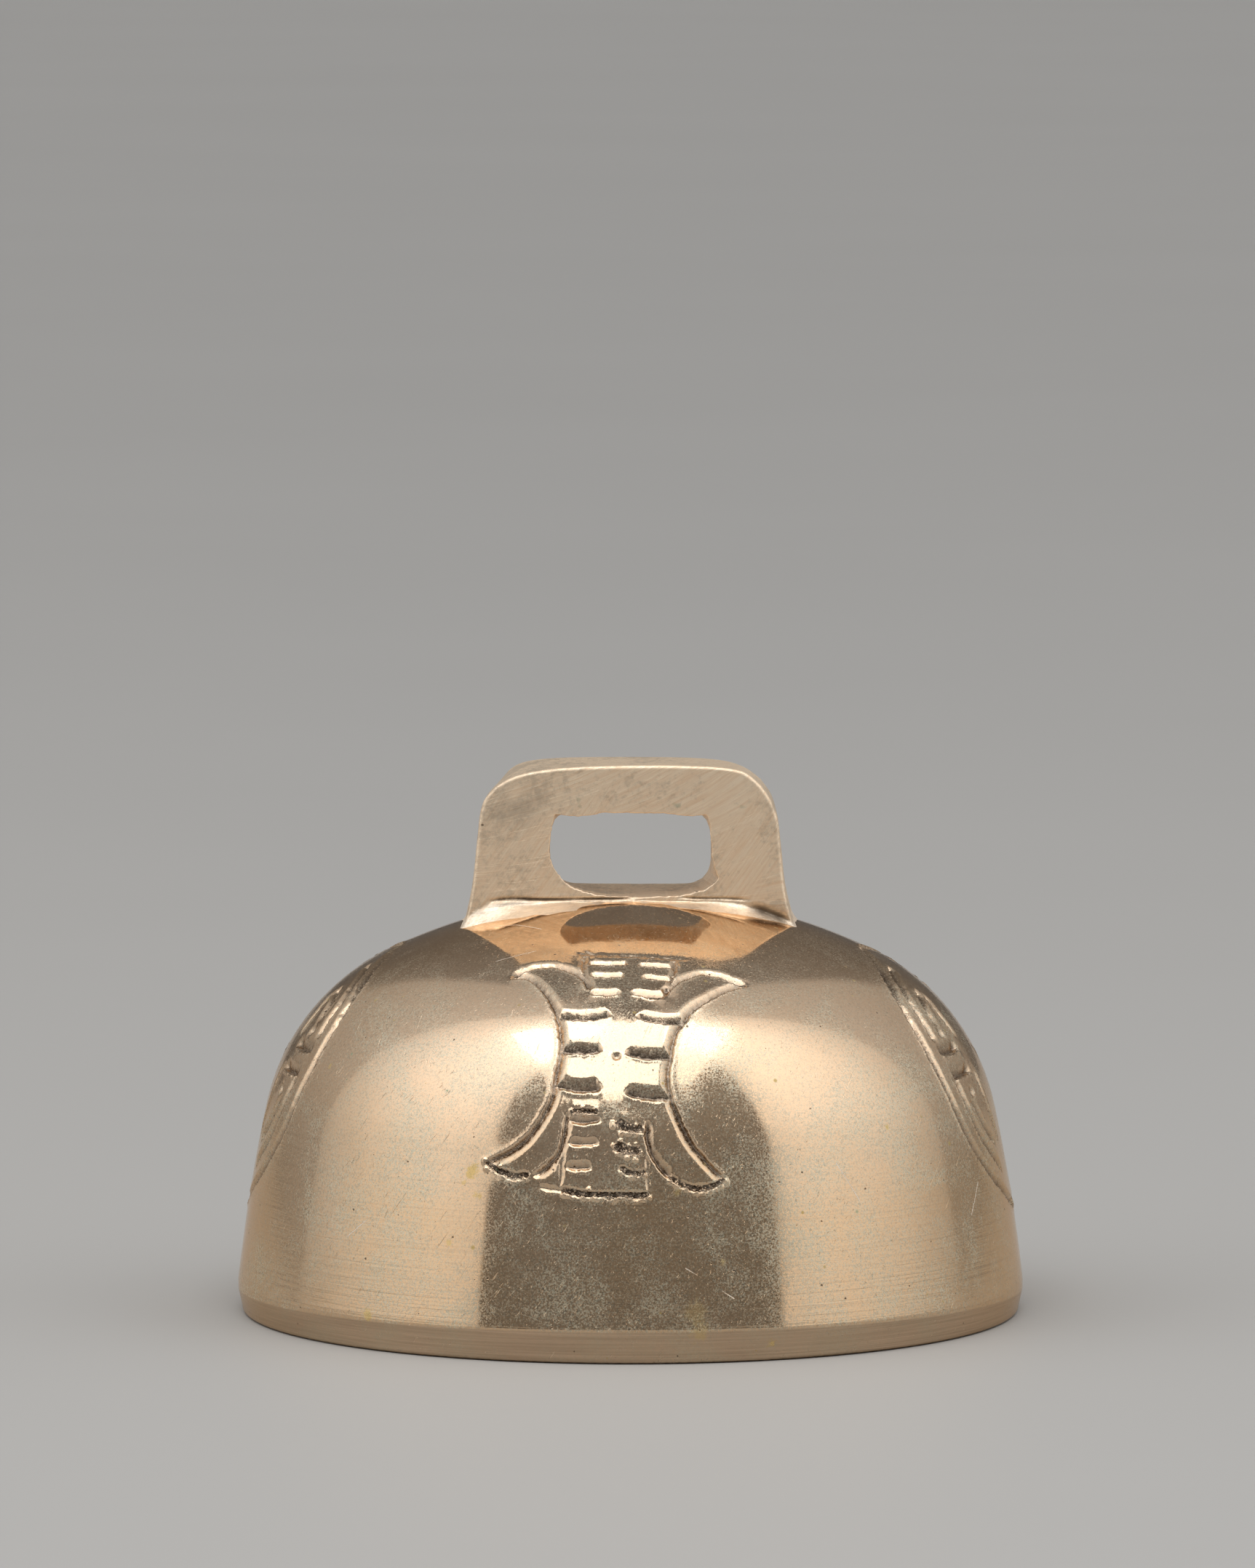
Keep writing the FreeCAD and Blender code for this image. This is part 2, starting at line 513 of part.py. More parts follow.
# Shank: a rod with a forged eye, a shoulder on the ball and a tail peened below it
def make_clapper_shank():
    body = new_body("clapper_shank")
    profile = new_sketch(body, "shank_profile", "XZ_Plane")
    wire = value_of("wire / 2")
    neck_end = value_of("neck_end_diameter / 2")
    rod = value_of("shank_diameter / 2")
    tail = value_of("tail_diameter / 2")
    peen = value_of("peen_diameter / 2")
    levels = {
        "peen_low": "mouth_gap",
        "peen_up": "mouth_gap + peen_height",
        "shoulder_up": f"{ball_level} + {ball_flat_rise} + seat_gap",
        "neck_low": f"{eye_level} - ( {bend_radius} ) - neck",
        "neck_up": f"{eye_level} - ( {bend_radius} )",
    }
    at = {name: value_of(formula) for name, formula in levels.items()}
    corners = [
        (0.0, at["peen_low"]),
        (tail, at["peen_low"]),
        (peen, at["peen_up"]),
        (tail, at["peen_up"]),
        (tail, at["shoulder_up"]),
        (rod, at["shoulder_up"]),
        (rod, at["neck_low"]),
        (neck_end, at["neck_up"]),
        (0.0, at["neck_up"]),
    ]
    edges = []
    for start, end in zip(corners, corners[1:] + corners[:1]):
        edges.append(line(start, end))
    tip, bulge, peen_top, tail_side, shoulder, rod_side, neck, cap, middle = profile.addGeometry(edges, False)
    ring = (tip, bulge, peen_top, tail_side, shoulder, rod_side, neck, cap, middle)
    for current, following in zip(ring, ring[1:] + ring[:1]):
        tie(profile, "Coincident", current, 2, following, 1)
    tie(profile, "PointOnObject", tip, 1, -2)
    tie(profile, "PointOnObject", cap, 2, -2)
    for flat in (tip, peen_top, shoulder, cap):
        tie(profile, "Horizontal", flat)
    for upright in (tail_side, rod_side):
        tie(profile, "Vertical", upright)
    bind(profile, "DistanceX", (-1, 1, tip, 2), "tip_out", "tail_diameter / 2")
    bind(profile, "DistanceX", (-1, 1, bulge, 2), "peen_out", "peen_diameter / 2")
    bind(profile, "DistanceX", (-1, 1, tail_side, 1), "tail_out", "tail_diameter / 2")
    bind(profile, "DistanceX", (-1, 1, rod_side, 1), "rod_out", "shank_diameter / 2")
    bind(profile, "DistanceX", (-1, 1, neck, 2), "neck_out", "neck_end_diameter / 2")
    bind(profile, "DistanceY", (-1, 1, tip, 2), "peen_low", levels["peen_low"])
    bind(profile, "DistanceY", (-1, 1, bulge, 2), "peen_up", levels["peen_up"])
    bind(profile, "DistanceY", (-1, 1, shoulder, 1), "shoulder_up", levels["shoulder_up"])
    bind(profile, "DistanceY", (-1, 1, neck, 1), "neck_low", levels["neck_low"])
    bind(profile, "DistanceY", (-1, 1, neck, 2), "neck_up", levels["neck_up"])
    rod_feature = body.newObject("PartDesign::Revolution", "rod")
    rod_feature.Profile = profile
    rod_feature.ReferenceAxis = (profile, ["V_Axis"])
    doc.recompute()
    section = new_sketch(body, "eye_section", "YZ_Plane")
    level = value_of(eye_level)
    out = value_of(bend_radius)
    circle = Part.Circle(vec(0, level + out), FreeCAD.Vector(0, 0, 1), wire)
    ring = section.addGeometry(circle, False)
    axis = section.addGeometry(line((-out, level), (out, level)), True)
    tie(section, "PointOnObject", ring, 3, -2)
    tie(section, "Symmetric", axis, 1, axis, 2, -2)
    bind(section, "Radius", (ring,), "wire_radius", "wire / 2")
    bind(section, "DistanceY", (axis, 2, ring, 3), "eye_bend", bend_radius)
    bind(section, "DistanceY", (-1, 1, axis, 2), "eye_up", eye_level)
    bind(section, "DistanceX", (axis, 1, axis, 2), "axis_drawn", bend_radius)
    eye = body.newObject("PartDesign::Revolution", "forged_eye")
    eye.Profile = section
    eye.ReferenceAxis = (section, ["Axis0"])
    return body


# Ball: turned sphere with a flat at each end of its bore
def make_clapper_ball():
    body = new_body("clapper_ball")
    profile = new_sketch(body, "ball_profile", "XZ_Plane")
    radius = value_of("ball_diameter / 2")
    flat = value_of("ball_flat / 2")
    bore = value_of("tail_diameter / 2 + seat_gap")
    level = value_of(ball_level)
    rise = value_of(ball_flat_rise)
    low, globe, high, bore_line = profile.addGeometry(
        [
            line((bore, level - rise), (flat, level - rise)),
            arc_through((flat, level - rise), (flat, level + rise), (0.0, level)),
            line((flat, level + rise), (bore, level + rise)),
            line((bore, level + rise), (bore, level - rise)),
        ],
        False,
    )
    tie(profile, "Coincident", low, 2, globe, 1)
    tie(profile, "Coincident", globe, 2, high, 1)
    tie(profile, "Coincident", high, 2, bore_line, 1)
    tie(profile, "Coincident", bore_line, 2, low, 1)
    tie(profile, "Horizontal", low)
    tie(profile, "Vertical", bore_line)
    tie(profile, "PointOnObject", globe, 3, -2)
    tie(profile, "Horizontal", high)
    tie(profile, "Vertical", globe, 1, globe, 2)
    bind(profile, "Radius", (globe,), "ball_radius", "ball_diameter / 2")
    bind(profile, "DistanceY", (-1, 1, globe, 3), "ball_up", ball_level)
    bind(profile, "DistanceX", (-1, 1, low, 2), "flat_out", "ball_flat / 2")
    bind(profile, "DistanceX", (-1, 1, low, 1), "bore_out", "tail_diameter / 2 + seat_gap")
    ball = body.newObject("PartDesign::Revolution", "turned_ball")
    ball.Profile = profile
    ball.ReferenceAxis = (profile, ["V_Axis"])
    return body


sub_parts = [
    make_bell_body(),
    make_hanging_loop(),
    make_clapper_staple(),
    make_clapper_link(),
    make_clapper_shank(),
    make_clapper_ball(),
]
doc.recompute()

for item in doc.Objects:
    if "Invalid" in item.State or "Error" in item.State:
        raise RuntimeError(f"{item.Label} did not compute: {item.State}")
for part in sub_parts:
    if part.Shape.isNull() or not part.Shape.isValid() or len(part.Shape.Solids) != 1:
        raise RuntimeError(part.Label + " is not one valid solid")

print("staple bar level", round(value_of(bar_level), 3))
print("eye level", round(value_of(eye_level), 3))
print("ball level", round(value_of(ball_level), 3))
os.makedirs("parts", exist_ok=True)
for part in sub_parts:
    part.Shape.exportStep("parts/" + part.Label + ".step")
    box = part.Shape.BoundBox
    low = [round(number, 2) for number in (box.XMin, box.YMin, box.ZMin)]
    high = [round(number, 2) for number in (box.XMax, box.YMax, box.ZMax)]
    print(part.Label, "volume", round(part.Shape.Volume, 1), "from", low, "to", high)
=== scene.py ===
import math

import bpy
import numpy as np
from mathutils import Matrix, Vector


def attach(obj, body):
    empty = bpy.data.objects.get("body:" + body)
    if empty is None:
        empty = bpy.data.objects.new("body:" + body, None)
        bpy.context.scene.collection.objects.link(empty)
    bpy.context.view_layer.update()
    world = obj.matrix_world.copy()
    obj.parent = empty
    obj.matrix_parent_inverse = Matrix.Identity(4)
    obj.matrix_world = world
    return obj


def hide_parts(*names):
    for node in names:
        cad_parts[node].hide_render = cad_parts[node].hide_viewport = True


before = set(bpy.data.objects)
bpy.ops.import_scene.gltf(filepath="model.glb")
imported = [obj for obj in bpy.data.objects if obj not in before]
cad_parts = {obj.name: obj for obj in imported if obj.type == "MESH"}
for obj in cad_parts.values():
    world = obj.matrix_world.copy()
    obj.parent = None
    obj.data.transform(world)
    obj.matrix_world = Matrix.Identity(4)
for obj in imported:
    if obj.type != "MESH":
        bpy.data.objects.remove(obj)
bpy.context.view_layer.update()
mm = 0.001
scene = bpy.context.scene
scene.view_settings.view_transform = "Standard"


def addObject(name, data):
    thing = bpy.data.objects.new(name, data)
    scene.collection.objects.link(thing)
    return thing


# camera
photoCamera = {
    "place": (-0.3, -1187.7, 171.2), "tiltDown": 5.65, "lens": 269.58, "filmHeight": 36.0, "near": 0.05, "far": 60,
}
cameraData = bpy.data.cameras.new("photoCamera")
cameraData.sensor_fit = "VERTICAL"
cameraData.sensor_height, cameraData.lens = photoCamera["filmHeight"], photoCamera["lens"]
cameraData.clip_start, cameraData.clip_end = photoCamera["near"], photoCamera["far"]
scene.camera = addObject("photoCamera", cameraData)
scene.camera.location = Vector(photoCamera["place"]) * mm
scene.camera.rotation_euler = (math.radians(90 - photoCamera["tiltDown"]), 0, 0)


# helpers for node trees
class Wire:  # one output of a node; arithmetic on it adds Math nodes to the open tree
    def __init__(self, node, pick=0):
        self.node, self.pick = node, pick

    def __getitem__(self, pick):
        return Wire(self.node, pick)

    def __add__(self, other):
        return calc("ADD", self, other)

    def __radd__(self, other):
        return calc("ADD", other, self)

    def __sub__(self, other):
        return calc("SUBTRACT", self, other)

    def __rsub__(self, other):
        return calc("SUBTRACT", other, self)

    def __mul__(self, other):
        return calc("MULTIPLY", self, other)

    def __truediv__(self, other):
        return calc("DIVIDE", self, other)


def workOn(tree):  # put() adds its nodes to this tree from here on
    global openTree
    openTree = tree


def put(kind, inputs=None, **settings):
    node = openTree.nodes.new(kind if "Node" in kind else "ShaderNode" + kind)
    for name, value in settings.items():
        setattr(node, name, value)
    for key, value in (inputs or {}).items():
        if isinstance(value, Wire):
            openTree.links.new(value.node.outputs[value.pick], node.inputs[key])
        else:
            node.inputs[key].default_value = value
    return Wire(node)


def calc(operation, *values, clamp=False):
    return put("Math", dict(enumerate(values)), operation=operation, use_clamp=clamp)


def vectorCalc(operation, first, second):
    inputs = {0: first, "Scale" if operation == "SCALE" else 1: second}
    pick = "Value" if operation in ("DISTANCE", "DOT_PRODUCT") else 0
    return put("VectorMath", inputs, operation=operation)[pick]


def span(value, low, high, toLow=0.0, toHigh=1.0, smooth=False):  # one range made another, clamped
    inputs = {"Value": value, "From Min": low, "From Max": high, "To Min": toLow, "To Max": toHigh}
    return put("MapRange", inputs, interpolation_type="SMOOTHSTEP" if smooth else "LINEAR")


def blend(share, first, second):  # two colours
    first, second = [(*tone, 1) if isinstance(tone, tuple) else tone for tone in (first, second)]
    return put("Mix", {0: share, 6: first, 7: second}, data_type="RGBA")[2]


def separate(vector):
    return put("SeparateXYZ", {0: vector})


def noise(where, scale, detail=2.0, rough=0.5, warp=0.0):
    inputs = {"Vector": where, "Scale": scale, "Detail": detail, "Roughness": rough, "Distortion": warp}
    return put("TexNoise", inputs)


def seededNoise(where, seed, scale, detail):
    inputs = {"Vector": where, "W": seed, "Scale": scale, "Detail": detail}
    return put("TexNoise", inputs, noise_dimensions="4D")


def stretched(where, scale=(1, 1, 1), turn=(0, 0, 0)):  # coordinates turned and squeezed for streaks
    return put("Mapping", {"Vector": where, "Scale": scale, "Rotation": turn})


def spun(where, axis, angle, centre=(0, 0, 0)):
    return put("VectorRotate", {"Vector": where, "Center": centre, "Angle": angle}, rotation_type=axis + "_AXIS")


def attribute(name):
    return put("Attribute", attribute_name=name)["Fac"]


def newMaterial(name):  # the material and its object coordinates
    material = bpy.data.materials.new(name)
    material.use_nodes = True
    material.node_tree.nodes.clear()
    workOn(material.node_tree)
    return material, put("TexCoord")["Object"]


def closeMaterial(colour, metal, roughness, height, bumpStrength, bumpDepth, more={}):
    bump = put("Bump", {"Strength": bumpStrength, "Distance": bumpDepth, "Height": height})
    sockets = {"Base Color": colour, "Metallic": metal, "Roughness": roughness, **more, "Normal": bump}
    put("OutputMaterial", {"Surface": put("BsdfPrincipled", sockets)})


def newGroup(name, inputs, outputs):  # an input is a number, or the kind of its socket
    group = bpy.data.node_groups.new(name, "ShaderNodeTree")
    for label, value in inputs.items():
        kind = value if isinstance(value, str) else "Float"
        socket = group.interface.new_socket(label, in_out="INPUT", socket_type="NodeSocket" + kind)
        if value != kind:
            socket.default_value = value
    for label in outputs:
        group.interface.new_socket(label, in_out="OUTPUT", socket_type="NodeSocketFloat")
    workOn(group)
    return group, put("NodeGroupInput")


def fillGroup(group, *values):  # a group in a material, its inputs given in order
    return put("Group", dict(enumerate(values)), node_tree=group)


# room
roomLight = {
    "over": 2.1, "overHigh": 1.2, "overWide": 1.0, "overDeep": 1.24, "overAside": -0.054, "overAhead": 0.67,
    "walls": [  # degrees from the front, brightness
        (44.7, 0.205), (45.3, 0.92), (60, 1.04), (75, 1.0), (90, 0.90), (101, 0.74), (112.7, 0.59), (113.6, 0.43),
        (130, 0.37), (153, 0.32), (157, 0.17), (168, 0.12),
    ],
    "wallLow": 0.88, "wallHigh": 1.85,
}
wide, deep = roomLight["overWide"], roomLight["overDeep"]
lamp = bpy.data.lights.new("overheadPanel", "AREA")
lamp.shape = "RECTANGLE"
lamp.size, lamp.size_y = wide, deep
lamp.energy = roomLight["over"] * math.pi * wide * deep
panel = addObject("overheadPanel", lamp)
panel.location = (roomLight["overAside"], -roomLight["overAhead"], roomLight["overHigh"])
panel.rotation_euler = Vector((0, 0, -roomLight["overHigh"])).to_track_quat("-Z", "Y").to_euler()
panel.visible_camera = False

scene.world = bpy.data.worlds.new("studio")
scene.world.use_nodes = True
scene.world.node_tree.nodes.clear()
workOn(scene.world.node_tree)
axes = separate(put("TexCoord")["Generated"])
bearingFromFront = calc("ABSOLUTE", calc("ARCTAN2", axes[0], axes[1] * -1.0))
ramp = put("ValToRGB", {0: bearingFromFront / math.pi})
stops = ramp.node.color_ramp.elements
for position, (degrees, bright) in enumerate(roomLight["walls"]):
    stop = stops[position] if position < 2 else stops.new(degrees / 180)
    stop.position = degrees / 180
    stop.color = (bright, bright, bright, 1)
level = ramp * span(axes[2], 0.0, 1.0, roomLight["wallLow"], roomLight["wallHigh"])
put("OutputWorld", {"Surface": put("Background", {"Color": (1, 1, 1, 1), "Strength": level})})

# floor: one large pale sheet that also fills the background
floorSheet = {
    "reach": 9.0, "corners": 96, "below": 0.00002, "dark": (0.43, 0.42, 0.405), "light": (0.45, 0.44, 0.425),
    "clouds": 6.0, "roughness": 0.55, "shine": 0.3,
}
floorMesh = bpy.data.meshes.new("floor")
count, reach = floorSheet["corners"], floorSheet["reach"]
turns = np.linspace(0, 2 * math.pi, count, endpoint=False)
rim = [(reach * math.cos(turn), reach * math.sin(turn), -floorSheet["below"]) for turn in turns]
floorMesh.from_pydata(rim, [], [tuple(range(count))])
floor = addObject("floor", floorMesh)
material, where = newMaterial("paleTable")
tone = blend(noise(where, floorSheet["clouds"], 3.0), floorSheet["dark"], floorSheet["light"])
shader = {"Base Color": tone, "Roughness": floorSheet["roughness"], "Specular IOR Level": floorSheet["shine"]}
put("OutputMaterial", {"Surface": put("BsdfPrincipled", shader)})
floorMesh.materials.append(material)
print("stage: camera, panels, floor")

# shared finishes: each group's inputs are given in the order listed
# patches of tarnish: soft clouds broken up by fine speckle
tarnish, entry = newGroup(
    "tarnishPatches", {"Where": "Vector", "Cloud Scale": 90.0, "Speckle Scale": 900.0, "Cover": 0.5}, ["Patches"]
)
cloud = noise(entry["Where"], entry["Cloud Scale"], 5.0, 0.6, 0.4)
speckle = noise(entry["Where"], entry["Speckle Scale"], 3.0, 0.7)
edge = 0.75 - entry["Cover"] * 0.5
put("NodeGroupOutput", {"Patches": span(cloud + (speckle - 0.5) * 0.7, edge - 0.12, edge + 0.12, smooth=True)})

# casting pits: a few of the cells carry a small dark hole
pits, entry = newGroup("castPits", {"Where": "Vector", "Scale": 500.0, "Share": 0.1, "Size": 0.16}, ["Pit", "Tint"])
cells = put("TexVoronoi", {"Vector": entry["Where"], "Scale": entry["Scale"]})
pick = put("SeparateColor", {0: cells["Color"]})
reach = entry["Size"] * (pick[1] + 0.3)
near = span(cells["Distance"], reach * 0.5, reach, 1.0, 0.0)
put("NodeGroupOutput", {"Pit": near * calc("LESS_THAN", pick[0], entry["Share"]), "Tint": pick[2]})

# strokes of a file or of wear: thin streaks along one direction of the turned coordinates
strokes, entry = newGroup(
    "fileStrokes", {"Where": "Vector", "Along": 60.0, "Across": 1500.0, "Sharp": 0.6}, ["Streak", "Line"]
)
axes = separate(entry["Where"])
squeezed = {0: axes[0] * entry["Along"], 1: axes[1] * entry["Across"], 2: axes[2] * entry["Across"]}
streak = noise(put("CombineXYZ", squeezed), 1.0, 3.0, 0.65, 0.05)
put("NodeGroupOutput", {"Streak": streak, "Line": span(streak, entry["Sharp"], entry["Sharp"] + 0.06)})

# one stain or one scratch at a set place
stain, entry = newGroup("stainAt", {"Where": "Vector", "Centre": "Vector", "Size": 0.001}, ["Mask"])
ragged = (noise(entry["Where"], 1100.0, 5.0, 0.75) - 0.5) * 3.6
reach = vectorCalc("DISTANCE", entry["Where"], entry["Centre"]) / entry["Size"] + ragged
put("NodeGroupOutput", {"Mask": span(reach, 0.45, 0.95, 1.0, 0.0)})

scratch, entry = newGroup(
    "scratchBetween", {"Where": "Vector", "Start": "Vector", "End": "Vector", "Width": 0.0001}, ["Mask"]
)
whole = vectorCalc("SUBTRACT", entry["End"], entry["Start"])
part = vectorCalc("SUBTRACT", entry["Where"], entry["Start"])
dot, square = vectorCalc("DOT_PRODUCT", part, whole), vectorCalc("DOT_PRODUCT", whole, whole)
foot = vectorCalc("SCALE", whole, calc("DIVIDE", dot, square, clamp=True))
thin = entry["Width"] * (0.5 + noise(entry["Where"], 2600.0, 2.0))
line = span(vectorCalc("DISTANCE", part, foot) / thin, 0.5, 1.1, 1.0, 0.0)
put("NodeGroupOutput", {"Mask": line})


def keepValues(mesh, name, values):  # one number for each point, read by the material
    layer = mesh.attributes.new(name, "FLOAT", "POINT")
    layer.data.foreach_set("value", np.ravel(values).astype(np.float32))


def triangleCount(piece):
    piece.data.calc_loop_triangles()
    return len(piece.data.loop_triangles)


# the turned bell body
bellForm = {
    "rimRadius": 40.0, "domeHeight": 42.2, "crownRadius": 56.8, "shoulderRadius": 22.5, "sideRadius": 187.9,
    "sideDrop": 18.4, "bandHeight": 3.3, "bandLean": 0.4, "rimBevel": 0.5, "lipBevel": 0.4, "wall": 3.0,
    "crownWall": 4.2, "innerCrownRadius": 70.1, "innerShoulderRadius": 19.5,
    "bandTilt": 0.9, "bandMiddle": 2.32,  # the band's top edge is tilted: high in front, low behind
    "uneven": (0.07, 55.0, 4.0),  # depth, scale and seed of the casting's unevenness
}
sheetGrid = {
    "columns": 208, "rows": (54, 4, 2, 2, 2, 40), "fine": 8,
    "slack": (0.013, 0.026, 0.038), "keenElsewhere": 0.36, "front": 0.7,  # the front is kept finest, within this turn
}


def crossing(centre, reach, other, otherReach):
    apart = math.dist(centre, other)
    along = (apart**2 + reach**2 - otherReach**2) / (2 * apart)
    aside = math.sqrt(reach**2 - along**2)
    run = ((other[0] - centre[0]) / apart, (other[1] - centre[1]) / apart)
    return centre[0] + run[0] * along + run[1] * aside, centre[1] + run[1] * along - run[0] * aside


def arcPoints(centre, radius, start, end, step=0.12):  # angles from straight up, clockwise
    count = max(3, int(abs(end - start) * radius / step))
    turns = np.linspace(start, end, count)
    return np.c_[centre[0] + radius * np.sin(turns), centre[1] + radius * np.cos(turns)]


def bearing(centre, point):
    return math.atan2(point[0] - centre[0], point[1] - centre[1])


def turningProfile(f):  # half section, from the crown's top round the rim to the crown's underside
    crownCentre = (0.0, f["domeHeight"] - f["crownRadius"])
    down = f["bandHeight"] + f["sideDrop"]
    sideCentre = (f["rimRadius"] - math.sqrt(f["sideRadius"] ** 2 - down**2), -f["sideDrop"])
    shoulderCentre = crossing(
        crownCentre, f["crownRadius"] - f["shoulderRadius"], sideCentre, f["sideRadius"] - f["shoulderRadius"]
    )
    toCrown, toSide = bearing(crownCentre, shoulderCentre), bearing(sideCentre, shoulderCentre)
    toBand = bearing(sideCentre, (f["rimRadius"], f["bandHeight"]))
    outer = [
        arcPoints(crownCentre, f["crownRadius"], 0, toCrown),
        arcPoints(shoulderCentre, f["shoulderRadius"], toCrown, toSide)[1:],
        arcPoints(sideCentre, f["sideRadius"], toSide, toBand)[1:],
    ]
    foot = f["rimRadius"] - f["bandLean"]
    inSide = f["sideRadius"] - f["wall"]
    lip = (sideCentre[0] + math.sqrt(inSide**2 - (f["lipBevel"] + f["sideDrop"]) ** 2), f["lipBevel"])
    band = np.linspace((f["rimRadius"], f["bandHeight"]), (foot, f["rimBevel"]), 24)
    rimArc = arcPoints((foot - f["rimBevel"], f["rimBevel"]), f["rimBevel"], math.pi / 2, math.pi, 0.05)
    flat = np.linspace(rimArc[-1], (lip[0] + f["lipBevel"], 0), 12)
    lipArc = arcPoints((lip[0] + f["lipBevel"], f["lipBevel"]), f["lipBevel"], math.pi, 1.5 * math.pi, 0.05)
    innerTop = (0.0, f["domeHeight"] - f["crownWall"])
    inCrownCentre = (0.0, innerTop[1] - f["innerCrownRadius"])
    inShoulder = f["innerShoulderRadius"]
    inShoulderCentre = crossing(inCrownCentre, f["innerCrownRadius"] - inShoulder, sideCentre, inSide - inShoulder)
    inToCrown, inToSide = bearing(inCrownCentre, inShoulderCentre), bearing(sideCentre, inShoulderCentre)
    inner = [
        arcPoints(sideCentre, inSide, bearing(sideCentre, lip), inToSide)[1:],
        arcPoints(inShoulderCentre, inShoulder, inToSide, inToCrown)[1:],
        arcPoints(inCrownCentre, f["innerCrownRadius"], inToCrown, 0)[1:],
    ]
    parts = [np.vstack(outer), band[1:], rimArc[1:], flat[1:], lipArc[1:], np.vstack(inner)]
    points = np.vstack(parts)
    lengths = np.r_[0, np.cumsum(np.hypot(*np.diff(points, axis=0).T))]
    ends = np.cumsum([len(part) for part in parts]) - 1
    return points, lengths, lengths[ends]


profilePoints, profileLengths, sectionEnds = turningProfile(bellForm)
fine = sheetGrid["fine"]
columnCount = sheetGrid["columns"] * fine
rowMarks = np.r_[0, np.cumsum(sheetGrid["rows"])] * fine
rowCount = int(rowMarks[-1])
rowLength = np.interp(np.arange(rowCount + 1), rowMarks, np.r_[0, sectionEnds])
rowRadius = np.interp(rowLength, profileLengths, profilePoints[:, 0])
rowLevel = np.interp(rowLength, profileLengths, profilePoints[:, 1])
columnTurn = np.linspace(-math.pi, math.pi, columnCount, endpoint=False)  # from the front, to the right
outerRows = int(rowMarks[2])


def grainAt(first, second, cell, seed):  # smooth noise from -1 to 1 on a seeded table
    table = np.random.default_rng(seed).uniform(-1, 1, (256, 256))
    a, b = np.asarray(first) / cell, np.asarray(second) / cell
    i, j = np.floor(a).astype(int), np.floor(b).astype(int)
    p, q = a - i, b - j
    p, q = p * p * (3 - 2 * p), q * q * (3 - 2 * q)
    near = table[i % 256, j % 256] * (1 - p) + table[(i + 1) % 256, j % 256] * p
    far = table[i % 256, (j + 1) % 256] * (1 - p) + table[(i + 1) % 256, (j + 1) % 256] * p
    return near * (1 - q) + far * q


def smoothPath(points, step=0.1):  # Catmull-Rom through the points, evenly stepped
    points = np.array(points, float)
    if len(points) > 2:
        padded = np.vstack([2 * points[0] - points[1], points, 2 * points[-1] - points[-2]])
        pieces = []
        for k in range(1, len(padded) - 2):
            a, b, c, d = padded[k - 1 : k + 3]
            t = np.linspace(0, 1, 24, endpoint=k == len(padded) - 3)[:, None]
            square, cube = 2 * a - 5 * b + 4 * c - d, 3 * b - a - 3 * c + d
            pieces.append(0.5 * (2 * b + (c - a) * t + square * t**2 + cube * t**3))
        points = np.vstack(pieces)
    lengths = np.r_[0, np.cumsum(np.hypot(*np.diff(points, axis=0).T))]
    stations = np.linspace(0, lengths[-1], max(4, int(lengths[-1] / step)))
    return np.c_[np.interp(stations, lengths, points[:, 0]), np.interp(stations, lengths, points[:, 1])], stations


# chisel cuts: each has a sloping floor on one side of its deepest line and a steep wall on the other
cutNames = ("depth", "floor", "wall", "bow", "grain", "ridge", "ease", "beads")
cutStyles = {  # how deep, width of the floor and of the wall, the floor's bow, roughness, crest, run-in at the ends
    "outline": (0.50, 0.88, 0.24, 1.15, 0.055, 0.03, 1.0),
    "highBar": (0.60, 1.12, 0.30, 1.35, 0.06, 0.07, 0.6),
    "bar": (0.58, 1.42, 0.30, 1.25, 0.09, 0.07, 0.6),
    "dash": (0.42, 0.85, 0.26, 1.0, 0.03, 0.06, 0.45),
    "groove": (0.78, 0.84, 0.30, 0.95, 0.09, 0.06, 1.0),
    "hair": (0.24, 0.45, 0.22, 1.0, 0.03, 0.05, 1.4),
    "faint": (0.13, 0.36, 0.22, 1.0, 0.05, 0.03, 2.2),
    "chain": (0.42, 0.46, 0.36, 0.6, 0.08, 0.02, 0.4, (4.5, 0.16, 0.17, 0.28)),
    "slag": (0.44, 0.80, 0.45, 0.5, 0.08, 0.02, 0.4, (9, 0.38, 0.18, 0.30)),
}
carving = {
    "reach": 23, "turn": 0.7, "margin": 1.8,  # how far a figure goes from its middle, and a cut from its line
    "wander": 0.05, "force": 0.14, "chatter": 0.4,  # unevenness of the line, of the depth and of the steep wall
    "crestAt": 0.10, "crestWidth": 0.15, "swell": 0.055, "swellWidth": 0.95,  # metal pushed up beside a cut
}
down, left, right = (0, 1), (-1, 0), (1, 0)
